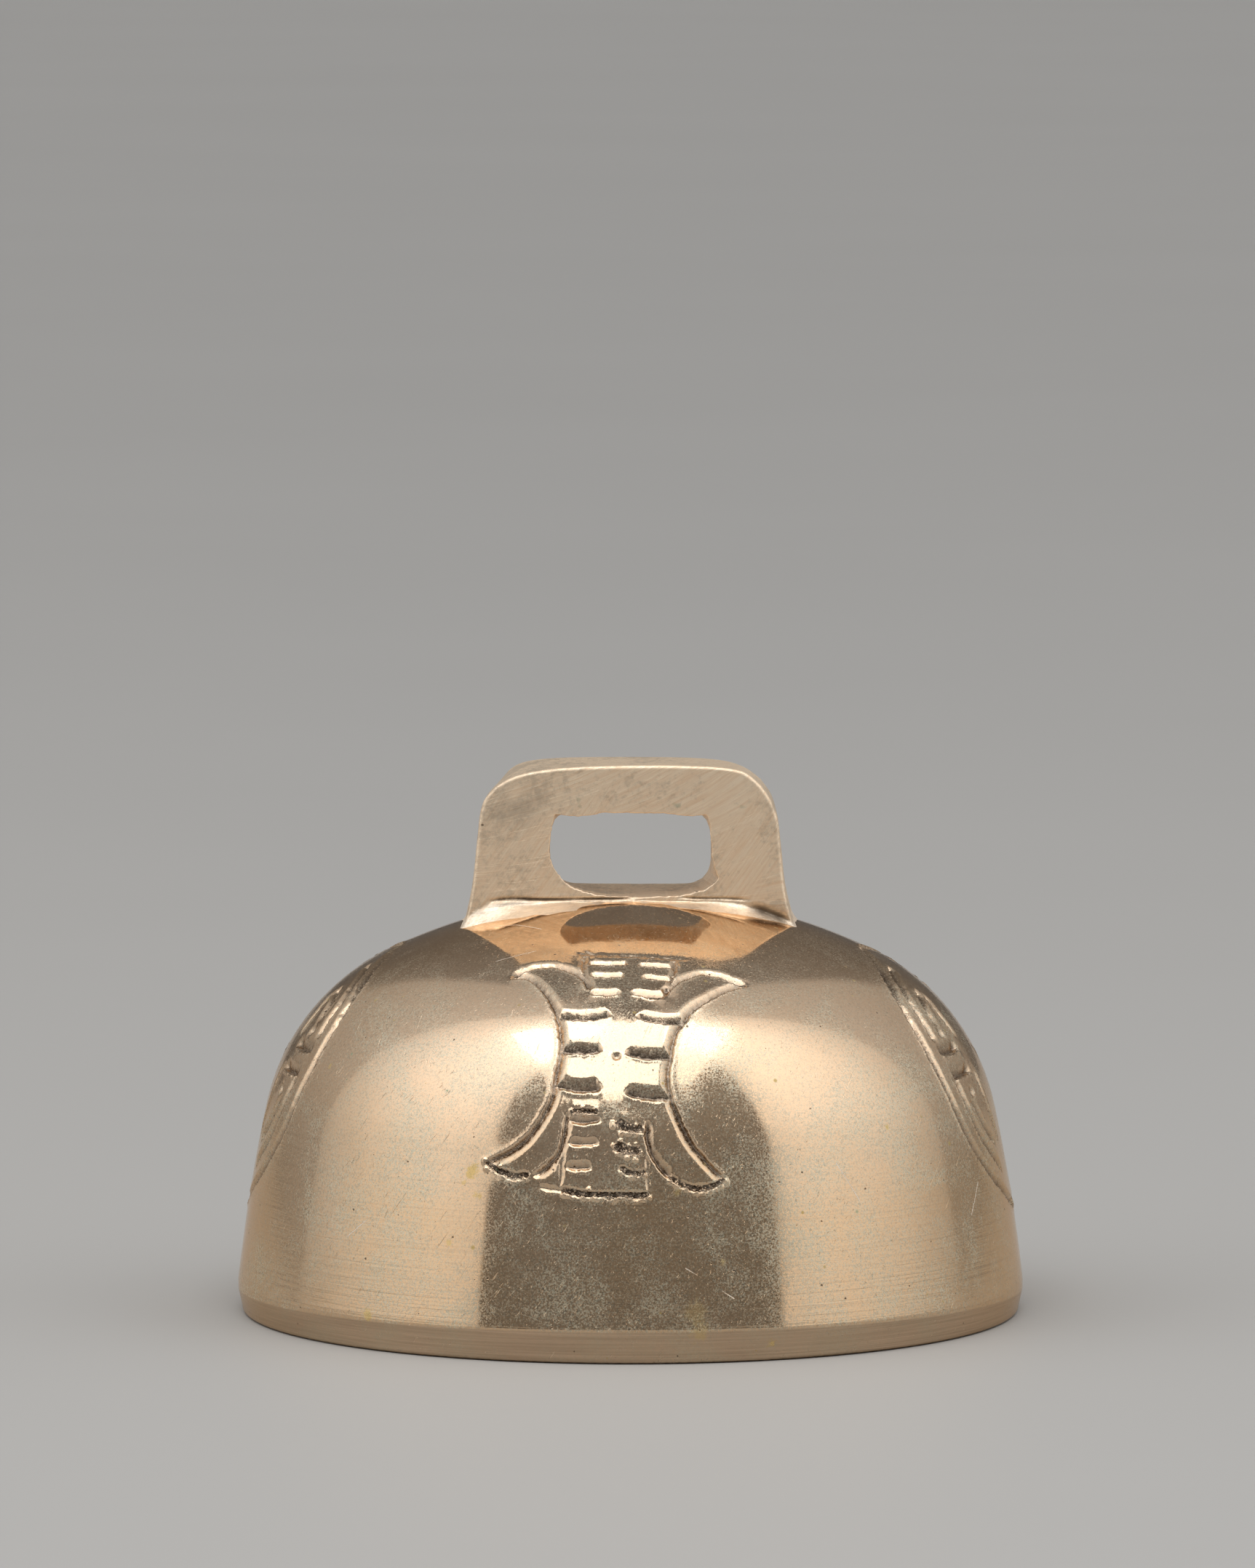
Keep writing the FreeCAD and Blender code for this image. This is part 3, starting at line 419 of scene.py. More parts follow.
# the figure on the front and the back: style, side of the steep wall, points to the right and down in mm
frontFigure = [
    ("outline", left, [(-12.1, -9.7), (-10.3, -9.9), (-8.9, -8.7), (-7.6, -6.8), (-6.75, -5.1), (-6.2, -3.2),
     (-5.75, -0.9), (-5.8, 1.3), (-6.0, 3.3), (-6.25, 5.2), (-7.1, 7.3), (-8.4, 9.3), (-9.9, 10.7), (-12.3, 12.1)]),
    ("outline", right, [(12.5, -9.9), (11.3, -9.6), (9.7, -8.8), (8.2, -7.5), (6.95, -6.1), (6.35, -4.6), (5.7, -3.3),
     (5.45, -1.7), (5.4, 0.0), (5.3, 2.0), (5.8, 4.3), (6.6, 5.9), (7.5, 7.6), (8.6, 9.2), (9.9, 10.5),
     (11.7, 12.1)]),
    ("outline", down, [(-12.0, -9.8), (-10.8, -11.1), (-9.6, -12.0), (-8.0, -12.45), (-6.6, -12.2), (-5.3, -11.5),
     (-4.3, -10.3), (-3.65, -8.6)]),
    ("outline", down, [(12.5, -9.9), (11.0, -10.6), (9.3, -11.6), (7.8, -12.05), (6.5, -11.75), (5.3, -10.75),
     (4.5, -9.5), (4.0, -8.2)]),
    ("faint", down, [(-6.2, -15.5), (-4.2, -15.4), (-1.0, -15.4), (1.9, -15.3), (3.9, -15.0), (6.1, -14.8)]),
    ("faint", right, [(-5.3, -16.3), (-4.3, -15.6), (-3.7, -14.8)]),
    ("hair", left, [(-4.7, -15.4), (-4.75, -13.3), (-4.35, -11.3), (-3.6, -9.4)]),
    ("hair", right, [(4.2, -15.0), (4.5, -13.1), (4.45, -11.2), (4.3, -9.5)]),
    ("dash", down, [(-4.2, -13.65), (-2.4, -13.6), (-0.3, -13.9)]),
    ("dash", down, [(0.8, -13.75), (2.6, -13.5), (4.35, -13.3)]),
    ("dash", down, [(-3.9, -11.3), (-2.2, -11.2), (-0.4, -11.45)]),
    ("dash", down, [(1.3, -11.4), (2.9, -11.1), (4.4, -10.9)]),
    ("dash", down, [(-3.5, -8.2), (-2.0, -8.15), (-0.4, -8.45)]),
    ("dash", down, [(0.5, -8.5), (2.2, -8.2), (3.95, -8.0)]),
    ("punch", (0.30, 0.34), [(4.45, -11.7)]),
    ("punch", (0.46, 0.55), [(4.05, -9.25)]),
    ("punch", (0.27, 0.34), [(-3.75, -9.0)]),
    ("highBar", down, [(-6.4, -4.35), (-5.0, -4.35), (-2.9, -4.5), (-1.1, -5.2)]),
    ("highBar", down, [(1.5, -5.1), (2.6, -4.75), (4.4, -4.5), (6.4, -4.6)]),
    ("bar", down, [(-5.8, -0.3), (-4.6, -0.2), (-3.0, -0.25), (-1.45, -0.75)]),
    ("bar", down, [(0.75, -0.55), (2.0, -0.15), (3.8, -0.1), (5.6, -0.2)]),
    ("bar", down, [(-5.9, 3.8), (-4.4, 3.95), (-2.7, 3.95), (-1.2, 3.5)]),
    ("bar", down, [(1.05, 3.8), (2.2, 4.2), (4.0, 4.3), (5.75, 4.25)]),
    ("dash", down, [(-4.3, 7.15), (-2.7, 7.25), (-1.0, 6.9)]),
    ("chain", down, [(-4.2, 6.3), (-2.8, 6.15), (-1.3, 6.2)]),
    ("slag", down, [(0.3, 7.0), (1.7, 7.7), (3.4, 7.6)]),
    ("dash", down, [(-4.1, 9.4), (-2.6, 9.5), (-1.0, 9.2)]),
    ("slag", down, [(0.4, 9.3), (1.7, 9.9), (3.3, 9.9)]),
    ("dash", down, [(-4.2, 11.9), (-2.9, 11.95), (-1.5, 11.7)]),
    ("chain", down, [(1.1, 11.4), (2.3, 12.0), (3.9, 11.8)]),
    ("outline", left, [(-4.45, 6.2), (-4.65, 8.6), (-5.1, 10.6), (-6.3, 12.1), (-7.5, 13.1)]),
    ("outline", left, [(3.55, 6.5), (3.6, 8.2), (4.1, 9.8), (5.1, 11.2), (6.3, 12.3)]),
    ("hair", left, [(-4.55, 9.6), (-4.65, 11.9), (-4.7, 14.1)]),
    ("hair", left, [(3.75, 9.8), (3.95, 12.0), (4.15, 14.0)]),
    ("chain", down, [(-12.6, 12.1), (-11.4, 12.8), (-10.3, 13.1), (-9.1, 13.25), (-7.6, 13.0)]),
    ("chain", down, [(5.9, 12.1), (7.4, 12.85), (8.9, 13.2), (10.6, 12.85), (11.8, 12.0)]),
    ("hair", down, [(-6.9, 14.0), (-5.4, 14.2), (-4.2, 14.3)]),
    ("chain", down, [(-4.6, 14.2), (-1.5, 14.4), (1.0, 14.3), (4.4, 14.1)]),
    ("punch", (0.45, 0.26), [(-0.05, 0.0)]),
]
# half of the figure on each side, mirrored to the other half
sideHalf = [
    ("groove", right, [(0.0, -12.2), (1.5, -11.95), (3.1, -11.15), (7.0, -8.9), (11.2, -5.8), (14.0, -2.4),
     (15.6, 0.6), (16.4, 3.6), (16.4, 6.6), (15.7, 9.8), (13.6, 12.9), (10.9, 15.5), (7.7, 17.4), (3.7, 19.3),
     (1.8, 19.85), (0.0, 20.0)]),
    ("groove", right, [(3.4, -8.7), (7.0, -7.1), (10.6, -3.8), (13.2, 1.0)]),
    ("groove", right, [(13.8, 5.2), (12.9, 9.0), (10.3, 12.7), (5.6, 15.9)]),
    ("groove", right, [(5.2, -5.1), (8.0, -3.2), (9.9, -0.7)]),
    ("groove", right, [(11.5, 7.9), (9.4, 10.9), (6.3, 13.1)]),
    ("groove", right, [(4.8, -4.3), (6.1, -1.5), (6.4, 1.4)]),
    ("groove", right, [(7.2, 4.6), (6.4, 9.0), (4.4, 12.8)]),
    ("bar", down, [(8.0, 2.25), (10.4, 2.6), (13.5, 2.45)]),
    ("bar", down, [(7.8, 4.95), (10.4, 5.2), (13.5, 5.1)]),
    ("punch", (0.62, 0.40), [(10.0, 0.45)]),
    ("punch", (0.62, 0.40), [(10.2, 7.1)]),
]
sideFigure = list(sideHalf)
for style, wall, points in sideHalf:
    mirrored = wall if style == "punch" else (-wall[0], wall[1])
    sideFigure.append((style, mirrored, [(-u, v) for u, v in points]))
sideFigure.append(("punch", (0.45, 0.26), [(0.0, 4.0)]))
figurePlaces = [  # azimuth from the front in degrees, arc length from the crown, turn, figure, seed
    (-2.32, 36.32, 3.7, frontFigure, 3), (177.7, 36.32, -2.0, frontFigure, 17),
    (-92.3, 36.32, 0.0, sideFigure, 29), (87.7, 36.32, 0.0, sideFigure, 41),
]

relief = np.zeros((columnCount, rowCount + 1), np.float32)
cutDepth = np.zeros_like(relief)
rawEdge = np.zeros_like(relief)


def carve(azimuth, centreLength, turn, figure, seed):
    rng = np.random.default_rng(seed)
    aside = (columnTurn - math.radians(azimuth) + math.pi) % (2 * math.pi) - math.pi
    rows = np.nonzero(abs(rowLength[: outerRows + 1] - centreLength) < carving["reach"])[0]
    columns = np.nonzero(abs(aside) < carving["turn"])[0]
    u = aside[columns][:, None] * rowRadius[rows][None, :]
    v = np.broadcast_to((rowLength[rows] - centreLength)[None, :], u.shape)
    c, s = math.cos(math.radians(turn)), math.sin(math.radians(turn))
    u, v = u * c + v * s, v * c - u * s
    pressed, raised, raw, beads, swell = np.zeros((5, *u.shape))
    grit = 0.6 * grainAt(u + 40, v + 40, 0.34, seed) + 0.4 * grainAt(u + 40, v + 40, 0.19, seed + 1)
    for styleName, wall, points in figure:
        if styleName == "punch":
            radius, deep = wall
            gap = np.hypot((u - points[0][0]) * 0.92, v - points[0][1]) / radius
            hole = deep * np.clip(1 - gap**2.5, 0, 1)
            pressed = np.maximum(pressed, hole)
            raised = np.maximum(raised, 0.07 * np.exp(-(((gap - 1.25) / 0.22) ** 2)) * (0.7 + 0.5 * grit))
            raw = np.maximum(raw, np.clip(1.5 - gap, 0, 1))
            continue
        style = dict(zip(cutNames, cutStyles[styleName]))
        path, stations = smoothPath(points)
        jitter = rng.uniform(0, 90)
        wander = [grainAt(stations, jitter, 1.1, seed + 2), grainAt(stations, jitter + 9, 1.1, seed + 3)]
        path = path + carving["wander"] * np.transpose(wander)
        run = np.gradient(path, axis=0)
        run /= np.hypot(*run.T)[:, None]
        normal = np.c_[-run[:, 1], run[:, 0]]
        middle = normal[len(normal) // 2]
        sign = 1 if middle[0] * wall[0] + middle[1] * wall[1] > 0 else -1
        ease = min(style["ease"], 0.45 * stations[-1])
        force = np.clip(np.minimum(stations, stations[-1] - stations) / ease, 0, 1)
        force = force * (2 - force)
        force *= 1 + carving["force"] * grainAt(stations, jitter + 30, 2.2, seed + 4) + rng.uniform(-0.06, 0.06)
        chatter = 1 + carving["chatter"] * grainAt(stations, jitter + 50, 0.32, seed + 5)
        margin = style["floor"] + carving["margin"]
        inside = (u > path[:, 0].min() - margin) & (u < path[:, 0].max() + margin)
        inside &= (v > path[:, 1].min() - margin) & (v < path[:, 1].max() + margin)
        pu, pv = u[inside], v[inside]
        nearest = np.empty(len(pu), int)
        for start in range(0, len(pu), 4000):
            part = slice(start, start + 4000)
            gap = (pu[part, None] - path[None, :, 0]) ** 2 + (pv[part, None] - path[None, :, 1]) ** 2
            nearest[part] = gap.argmin(1)
        du, dv = pu - path[nearest, 0], pv - path[nearest, 1]
        across = (du * normal[nearest, 0] + dv * normal[nearest, 1]) * sign
        beyond = abs(du * run[nearest, 0] + dv * run[nearest, 1])
        k = force[nearest] * np.clip(1.4 - beyond / 0.25, 0, 1)
        size = 0.35 + 0.65 * np.clip(k, 0, 1)
        wallWide = style["wall"] * size * chatter[nearest]
        floorWide = style["floor"] * size
        slope = np.where(across > 0, 1 - across / wallWide, np.clip(1 + across / floorWide, 0, 1) ** style["bow"])
        slope = np.clip(slope, 0, 1) * k
        deep = style["depth"] * slope - style["grain"] * grit[inside] * np.clip(slope * 3, 0, 1)
        pressed[inside] = np.maximum(pressed[inside], np.where(slope > 0, deep, 0))
        crest = np.exp(-(((across - wallWide - carving["crestAt"]) / carving["crestWidth"]) ** 2)) * k
        away = np.where(across > 0, across, np.clip(-across - 0.8 * floorWide, 0, None))
        soft = np.exp(-((away / carving["swellWidth"]) ** 2))
        soft *= np.clip(force[nearest] * np.clip(1.4 - beyond / 0.9, 0, 1), 0, 1)
        swell[inside] = np.maximum(swell[inside], carving["swell"] * min(1.0, style["depth"] / 0.45) * soft)
        lump = style["ridge"] * crest * (0.45 + 0.9 * np.clip(grit[inside] + 0.2, 0, 1.2))
        raised[inside] = np.maximum(raised[inside], lump)
        if "beads" in style:
            raw[inside] = np.maximum(raw[inside], 2 * np.clip(slope * 2.5, 0, 1))
            often, scatter, small, large = style["beads"]
            for station in rng.uniform(0, len(path), int(often * stations[-1])).astype(int):
                spot = path[station] + normal[station] * sign * rng.normal(0.05, scatter)
                size = rng.uniform(small, large)
                lump = np.sqrt(np.clip(size**2 - (pu - spot[0]) ** 2 - (pv - spot[1]) ** 2, 0, None))
                beads[inside] = np.maximum(beads[inside], lump)
        raw[inside] = np.maximum(raw[inside], np.clip(np.where(across > -0.1, 1.2, 0.0) * slope + crest, 0, 1))
    height = swell + np.where(pressed > 0.01, -pressed, 0) + raised * np.clip(1 - pressed * 8, 0, 1) + beads
    pressed = np.clip(pressed - 0.6 * beads, 0, 1)
    block = np.ix_(columns, rows)
    relief[block] += height
    cutDepth[block] = np.maximum(cutDepth[block], np.clip(pressed / 0.45, 0, 1))
    rawEdge[block] = np.maximum(rawEdge[block], raw)


for place in figurePlaces:
    carve(*place)

# the tilted top edge of the turned band: the sheet's rows bend down to follow it
form = bellForm
rows = np.arange(rowCount + 1)
edgeRow, rimRow = int(rowMarks[1]), int(rowMarks[2])
edgeWaver = 0.06 * grainAt(columnTurn * 12 + 60, 0, 5.0, 7)
edgeLevel = form["bandMiddle"] + form["bandTilt"] * np.cos(columnTurn) + edgeWaver
edgeDrop = np.maximum(form["bandHeight"] - edgeLevel, 0.02)
follow = np.interp(rowLength, [sectionEnds[0] - 5.5, sectionEnds[0]], [0, 1])
follow = follow * follow * (3 - 2 * follow)
bandShare = (rowLength - sectionEnds[0]) / (sectionEnds[1] - sectionEnds[0])
follow = np.where(rows > edgeRow, np.clip(1 - bandShare, 0, 1), follow)
follow[rows > rimRow] = 0
sheetLength = rowLength[None, :] + edgeDrop[:, None] * follow[None, :]
bentLevel = np.interp(sheetLength, profileLengths, profilePoints[:, 1])
bentRadius = np.interp(sheetLength, profileLengths, profilePoints[:, 0])
near = (sheetLength > sectionEnds[0]) & (rows <= rimRow)[None, :]
edgeUp = edgeLevel[:, None]
leaning = form["rimRadius"] - form["bandLean"] * (edgeUp - bentLevel) / (edgeUp - form["rimBevel"])
shoulderOut = np.where(rows[None, :] <= edgeRow, form["rimRadius"], leaning)
relief += np.where(near, shoulderOut - bentRadius, 0)
print("stage: figures cut, deepest", round(float(-relief.min()), 2), "mm")


def anyOf(grid, size):  # one value for each size by size block
    a, b = grid.shape
    return grid.reshape(a // size, size, b // size, size).any(axis=(1, 3))


def dilate(grid):
    wide = grid | np.roll(grid, 1, 0) | np.roll(grid, -1, 0)
    wide[:, 1:] |= grid[:, :-1]
    wide[:, :-1] |= grid[:, 1:]
    return wide


def uneven(size, slack):  # which blocks depart from the flat facet between their corners
    wrapped = np.vstack([relief, relief[:1]])
    a, b = wrapped[:-1:size, :-1:size], wrapped[size::size, :-1:size]
    c, d = wrapped[:-1:size, size::size], wrapped[size::size, size::size]
    worst = np.zeros_like(a)
    for i in range(size + 1):
        for j in range(size + 1):
            p, q = i / size, j / size
            flat = a * (1 - p) * (1 - q) + b * p * (1 - q) + c * (1 - p) * q + d * p * q
            rows = wrapped[i : columnCount + i + 1 : size, j : rowCount + j + 1 : size]
            rows = rows[: a.shape[0], : a.shape[1]]
            worst = np.maximum(worst, abs(rows - flat))
    keen = np.where(abs(columnTurn[::size]) < sheetGrid["front"], 1.0, sheetGrid["keenElsewhere"])
    return worst * keen[:, None] > slack


def quartered(grid):  # each block as four
    return np.kron(grid, np.ones((2, 2), bool))


def sheetMesh():
    split2 = uneven(2, sheetGrid["slack"][2])
    split4 = uneven(4, sheetGrid["slack"][1]) | anyOf(dilate(split2), 2)
    split4[:, edgeRow // 4 - 3 : rimRow // 4 + 1] = True
    split8 = uneven(8, sheetGrid["slack"][0]) | anyOf(dilate(split4), 2)
    split4 &= quartered(split8)
    split2 &= quartered(split4)
    cells = []
    sizes = {8: ~split8, 4: quartered(split8) & ~split4, 2: quartered(split4) & ~split2, 1: quartered(split2)}
    for size, here in sizes.items():
        i, j = np.nonzero(here)
        cells.append((size, i * size, j * size))
    used = np.zeros((columnCount, rowCount + 1), bool)
    for size, i, j in cells:
        for di in (0, size):
            for dj in (0, size):
                used[(i + di) % columnCount, j + dj] = True
    faces = []
    fans = []
    for size, i, j in cells:
        k = (i + size) % columnCount
        low = j + size
        if size == 1:
            faces.append(np.c_[i, j, i, low, k, low, k, j])
            continue
        half = size // 2
        mid, deep = (i + half) % columnCount, j + half
        broken = used[mid, j] | used[mid, low] | used[i, deep] | used[k, deep]
        faces.append(np.c_[i, j, i, low, k, low, k, j][~broken])
        for a, b, c, d, m, n in zip(*(x[broken] for x in (i, j, k, low, mid, deep))):
            ring = [(a, b), (a, n), (a, d), (m, d), (c, d), (c, n), (c, b), (m, b)]
            ring = [p for q, p in enumerate(ring) if q % 2 == 0 or used[p]]
            fans.append(((m, n), ring))
            used[m, n] = True
    used[1:, 0] = used[1:, -1] = False
    used[0, 0] = used[0, -1] = True
    index = np.full(used.shape, -1)
    index[used] = np.arange(used.sum())
    index[:, 0], index[:, -1] = index[0, 0], index[0, -1]
    polygons = []
    for block in faces:
        corner = np.stack([index[block[:, 2 * q], block[:, 2 * q + 1]] for q in range(4)], 1)
        polygons += corner.tolist()
    for centre, ring in fans:
        for p, q in zip(ring, ring[1:] + ring[:1]):
            polygons.append([int(index[centre]), int(index[p]), int(index[q])])
    polygons = [list(dict.fromkeys(polygon)) for polygon in polygons]
    i, j = np.nonzero(used)
    places = np.c_[columnTurn[i], sheetLength[i, j] * mm, relief[i, j] * mm]
    mesh = bpy.data.meshes.new("bellShell")
    mesh.from_pydata(places.tolist(), [], polygons)
    keepValues(mesh, "cutDepth", cutDepth[i, j])
    keepValues(mesh, "rawEdge", rawEdge[i, j])
    keepValues(mesh, "inside", j >= rowMarks[4])
    return mesh


# helpers for geometry trees
def geometryTree(name, inputs):
    group = bpy.data.node_groups.new(name, "GeometryNodeTree")
    group.interface.new_socket("Geometry", in_out="OUTPUT", socket_type="NodeSocketGeometry")
    for label, kind in {"Geometry": "Geometry", **inputs, "Finish": "Material"}.items():
        group.interface.new_socket(label, in_out="INPUT", socket_type="NodeSocket" + kind)
    workOn(group)
    return group, put("NodeGroupInput")


def closeTree(geometry, finish):
    shaded = put("GeometryNodeSetShadeSmooth", {"Geometry": geometry, "Shade Smooth": True})
    real = put("GeometryNodeRealizeInstances", {0: shaded})
    put("NodeGroupOutput", {0: put("GeometryNodeSetMaterial", {"Geometry": real, "Material": finish})})


def alongNormal(geometry, amount, finish):  # each point pushed out along its normal
    push = vectorCalc("SCALE", put("GeometryNodeInputNormal"), amount)
    closeTree(put("GeometryNodeSetPosition", {"Geometry": geometry, "Offset": push}), finish)


def makeFromTree(name, mesh, group, values):  # runs a tree on a mesh and keeps the result as a plain mesh
    source = addObject(name + "Source", mesh)
    modifier = source.modifiers.new("tree", "NODES")
    modifier.node_group = group
    for item in group.interface.items_tree:
        if item.in_out == "INPUT" and item.name in values:
            modifier[item.identifier] = values[item.name]
    bpy.context.view_layer.update()
    result = bpy.data.meshes.new_from_object(source.evaluated_get(bpy.context.evaluated_depsgraph_get()))
    result.name = name
    bpy.data.objects.remove(source)
    return addObject(name, result)


# the lathe: a flat sheet (turn, length, relief) is wrapped round the Z axis on the turning profile
kinds = {"Turning Profile": "Object", "Unevenness": "Float", "Unevenness Scale": "Float", "Seed": "Float"}
lathe, entry = geometryTree("wrapOnLathe", kinds)
axes = separate(put("GeometryNodeInputPosition"))
curve = put("GeometryNodeObjectInfo", {"Object": entry["Turning Profile"]})["Geometry"]
sample = put("GeometryNodeSampleCurve", {"Curves": curve, "Length": axes[1]}, mode="LENGTH")
run = separate(sample["Tangent"])
outward = put("CombineXYZ", {0: run[2] * -1.0, 2: run[0]})
angle = axes[0] - math.pi / 2
spot = spun(sample["Position"], "Z", angle)
wobble = seededNoise(spot, entry["Seed"], entry["Unevenness Scale"], 1.5) - 0.6
height = axes[2] + wobble * entry["Unevenness"]
final = vectorCalc("ADD", spot, vectorCalc("SCALE", spun(outward, "Z", angle), height))
closeTree(put("GeometryNodeSetPosition", {"Geometry": entry["Geometry"], "Position": final}), entry["Finish"])


def turnedOnLathe(name, mesh, profile, unevenness, scale, seed, finish):
    curve = bpy.data.curves.new(name + "Profile", "CURVE")
    curve.dimensions = "3D"
    spline = curve.splines.new("POLY")
    spline.points.add(len(profile) - 1)
    for point, (out, level) in zip(spline.points, profile):
        point.co = (out * mm, 0, level * mm, 1)
    holder = addObject(name + "Profile", curve)
    values = {
        "Turning Profile": holder, "Unevenness": unevenness * mm, "Unevenness Scale": scale, "Seed": seed,
        "Finish": finish,
    }
    piece = makeFromTree(name, mesh, lathe, values)
    bpy.data.objects.remove(holder)
    return piece


def onBell(azimuth, level):  # a place on the outside, in metres
    radius = float(np.interp(level, rowLevel[edgeRow::-1], rowRadius[edgeRow::-1]))
    turn = math.radians(azimuth)
    return radius * math.sin(turn) * mm, -radius * math.cos(turn) * mm, level * mm


bellWear = {
    "clean": (0.77, 0.555, 0.38), "warm": (0.69, 0.465, 0.275), "film": (0.62, 0.60, 0.46), "filmAmount": 1.0,
    "thickest": (19, 11),  # azimuth and level where the film is thickest
    "dulled": (0.25, 0.27, 0.22), "bandFilm": (0.40, 0.34, 0.22), "turningLine": (0.40, 0.29, 0.19),
    "band": ((0.375, 0.27, 0.185), (0.56, 0.41, 0.285)), "cut": ((0.065, 0.045, 0.035), (0.30, 0.235, 0.185)),
    "ridge": (0.80, 0.68, 0.55), "gap": (0.06, 0.045, 0.035), "spots": ((0.42, 0.30, 0.07), (0.16, 0.30, 0.18)),
    "stain": (0.66, 0.46, 0.12), "pit": (0.06, 0.04, 0.03), "scratch": (0.92, 0.84, 0.74),
    "underside": ((0.12, 0.09, 0.06), (0.34, 0.265, 0.18)),
    "stains": [  # azimuth, level, size in mm, strength
        (-24.6, 18.6, 0.8, 0.6), (-23.6, 16.3, 0.5, 0.5), (-25.9, 17.4, 0.35, 0.4), (-27.5, 11.5, 0.35, 0.4),
        (44, 22, 0.35, 0.6), (-60, 27, 0.4, 0.5), (-41, 3.6, 0.8, 0.5), (9.9, 3.3, 1.2, 0.3), (9.3, 5.2, 1.4, 0.25),
        (13.5, 10.0, 0.4, 0.4), (20.5, 1.8, 0.5, 0.5), (7.0, 17.0, 0.5, 0.4), (112, 15, 0.9, 0.7),
        (-140, 9, 1.1, 0.7), (163, 24, 0.7, 0.7),
    ],
    "scratches": [  # start and end azimuth and level, width in mm
        (-62.0, 39.9, -52.0, 40.3, 0.06), (-52.0, 40.3, -37.0, 40.2, 0.075), (-37.0, 37.6, -28.5, 38.6, 0.05),
        (-46.5, 11.0, -43.0, 12.8, 0.05), (33.0, 19.0, 36.5, 15.2, 0.05), (62.0, 12.0, 66.0, 15.0, 0.06),
        (150.0, 30.0, 171.0, 26.0, 0.06), (-120.0, 14.0, -104.0, 17.0, 0.06), (8.0, 9.5, 15.0, 6.4, 0.045),
    ],
}
wear = bellWear
bellFinish, where = newMaterial("bellBronze")
cut, rawAll, inside = attribute("cutDepth"), attribute("rawEdge"), attribute("inside")
raw, beady = calc("MINIMUM", rawAll, 1.0), calc("SUBTRACT", rawAll, 1.0, clamp=True)
rough = calc("MAXIMUM", cut, raw)
axes = separate(where)
level = axes[2]
bandEdge = bellForm["bandMiddle"] * mm - axes[1] * (bellForm["bandTilt"] / bellForm["rimRadius"])
band = span(bandEdge - level, -0.0001, 0.0001)
# a thin film of tarnish: fine pale and dark specks, denser in soft clouds and along rubbed streaks
thick = vectorCalc("DISTANCE", where, onBell(*wear["thickest"]))
cloud = noise(where, 110.0, 5.0, 0.68, 0.5) + span(thick, 0.003, 0.022, 0.04, -0.01)
cover = span(cloud, 0.36, 0.66, smooth=True)
mottle = noise(where, 5200.0, 4.0, 0.75, 0.3)
rub = fillGroup(strokes, stretched(where, turn=(0.3, 0.75, 0.2)), 330.0, 3600.0, 0.56)["Line"]
pale = span(mottle + cover * 0.05 + rub * 0.03, 0.50, 0.61)
dark = span(noise(where, 4300.0, 4.0, 0.75, 0.3), 0.50, 0.58)
amount = span(level, 0.040, 0.032, 0.4, wear["filmAmount"]) * (1.0 - band * 0.75) * span(cover, 0.0, 1.0, 0.45, 1.0)
film, dulled = pale * amount, dark * amount
# lumps and gaps of the rough beaded cuts, casting pits, coloured spots, turning lines
cell = put("TexVoronoi", {"Vector": where, "Scale": 3300.0})["Distance"]
lumps, gaps = span(cell, 0.08, 0.6, 1.0, 0.0) * beady, span(cell, 0.25, 0.55) * beady
pit = fillGroup(pits, where, 900.0, 0.30, 0.11)["Pit"]
spots = fillGroup(pits, where, 420.0, 0.45, 0.10)
turning = noise(stretched(where, (45, 45, 3600)), 1.0, 2.0, 0.6)
lowDown = span(level, 0.030, 0.004, 0.10, 1.0) * span(noise(where, 60.0), 0.35, 0.6, 0.4, 1.0)
bandLines = noise(stretched(where, (60, 60, 5200)), 1.0, 4.0, 0.7)
stainMask = scratchMask = 0.0
for azimuth, height, size, strength in wear["stains"]:
    mark = fillGroup(stain, where, onBell(azimuth, height), size * mm)
    stainMask = calc("MAXIMUM", stainMask, mark * strength)
for azimuth, height, endAzimuth, endHeight, width in wear["scratches"]:
    mark = fillGroup(scratch, where, onBell(azimuth, height), onBell(endAzimuth, endHeight), width * mm)
    scratchMask = calc("MAXIMUM", scratchMask, mark)
scuffs = [
    fillGroup(strokes, stretched(where, turn=turn), along, across, sharp)["Line"]
    for turn, along, across, sharp in (((0.4, 0.9, 0.5), 90.0, 3600.0, 0.665), ((-0.7, 0.3, 1.9), 110.0, 4200.0, 0.67))
]
hairs = calc("MAXIMUM", *scuffs)
# colour, from the clean metal up
warmth = span(noise(where, 38.0, 3.0, 0.6, 0.6), 0.35, 0.65, -0.2, 0.35) + span(level, 0.034, 0.008)
bandTone = blend(cover * 0.3, blend(span(bandLines, 0.36, 0.64), *wear["band"]), wear["bandFilm"])
colour = blend(warmth, wear["clean"], wear["warm"])
for share, tone in (
    (band * 0.8, bandTone), (dulled * 0.60, wear["dulled"]), (film * 0.65, wear["film"]),
    (span(turning, 0.56, 0.72) * lowDown * 0.35, wear["turningLine"]), (raw * 0.15, wear["ridge"]),
    # cut floors: mottled dark oxide plus painted shade that grows darker with the cut's depth
    (calc("POWER", cut, 1.5) * 0.86, blend(span(noise(where, 2600.0, 4.0, 0.7), 0.42, 0.60), *wear["cut"])),
    (gaps * 0.85, wear["gap"]), (spots["Pit"] * 0.7, blend(calc("GREATER_THAN", spots["Tint"], 0.82), *wear["spots"])),
    (stainMask, wear["stain"]), (pit * 0.85, wear["pit"]), (scratchMask * 0.8, wear["scratch"]),
    (inside, blend(noise(where, 260.0, 5.0, 0.65), *wear["underside"])),
):
    colour = blend(share, colour, tone)
marks = calc("MAXIMUM", stainMask, calc("MAXIMUM", scratchMask, hairs))
roughness = calc("ADD", film * 0.27 + 0.035 + band * 0.12 + rough * 0.14 + marks * 0.2, inside * 0.25, clamp=True)
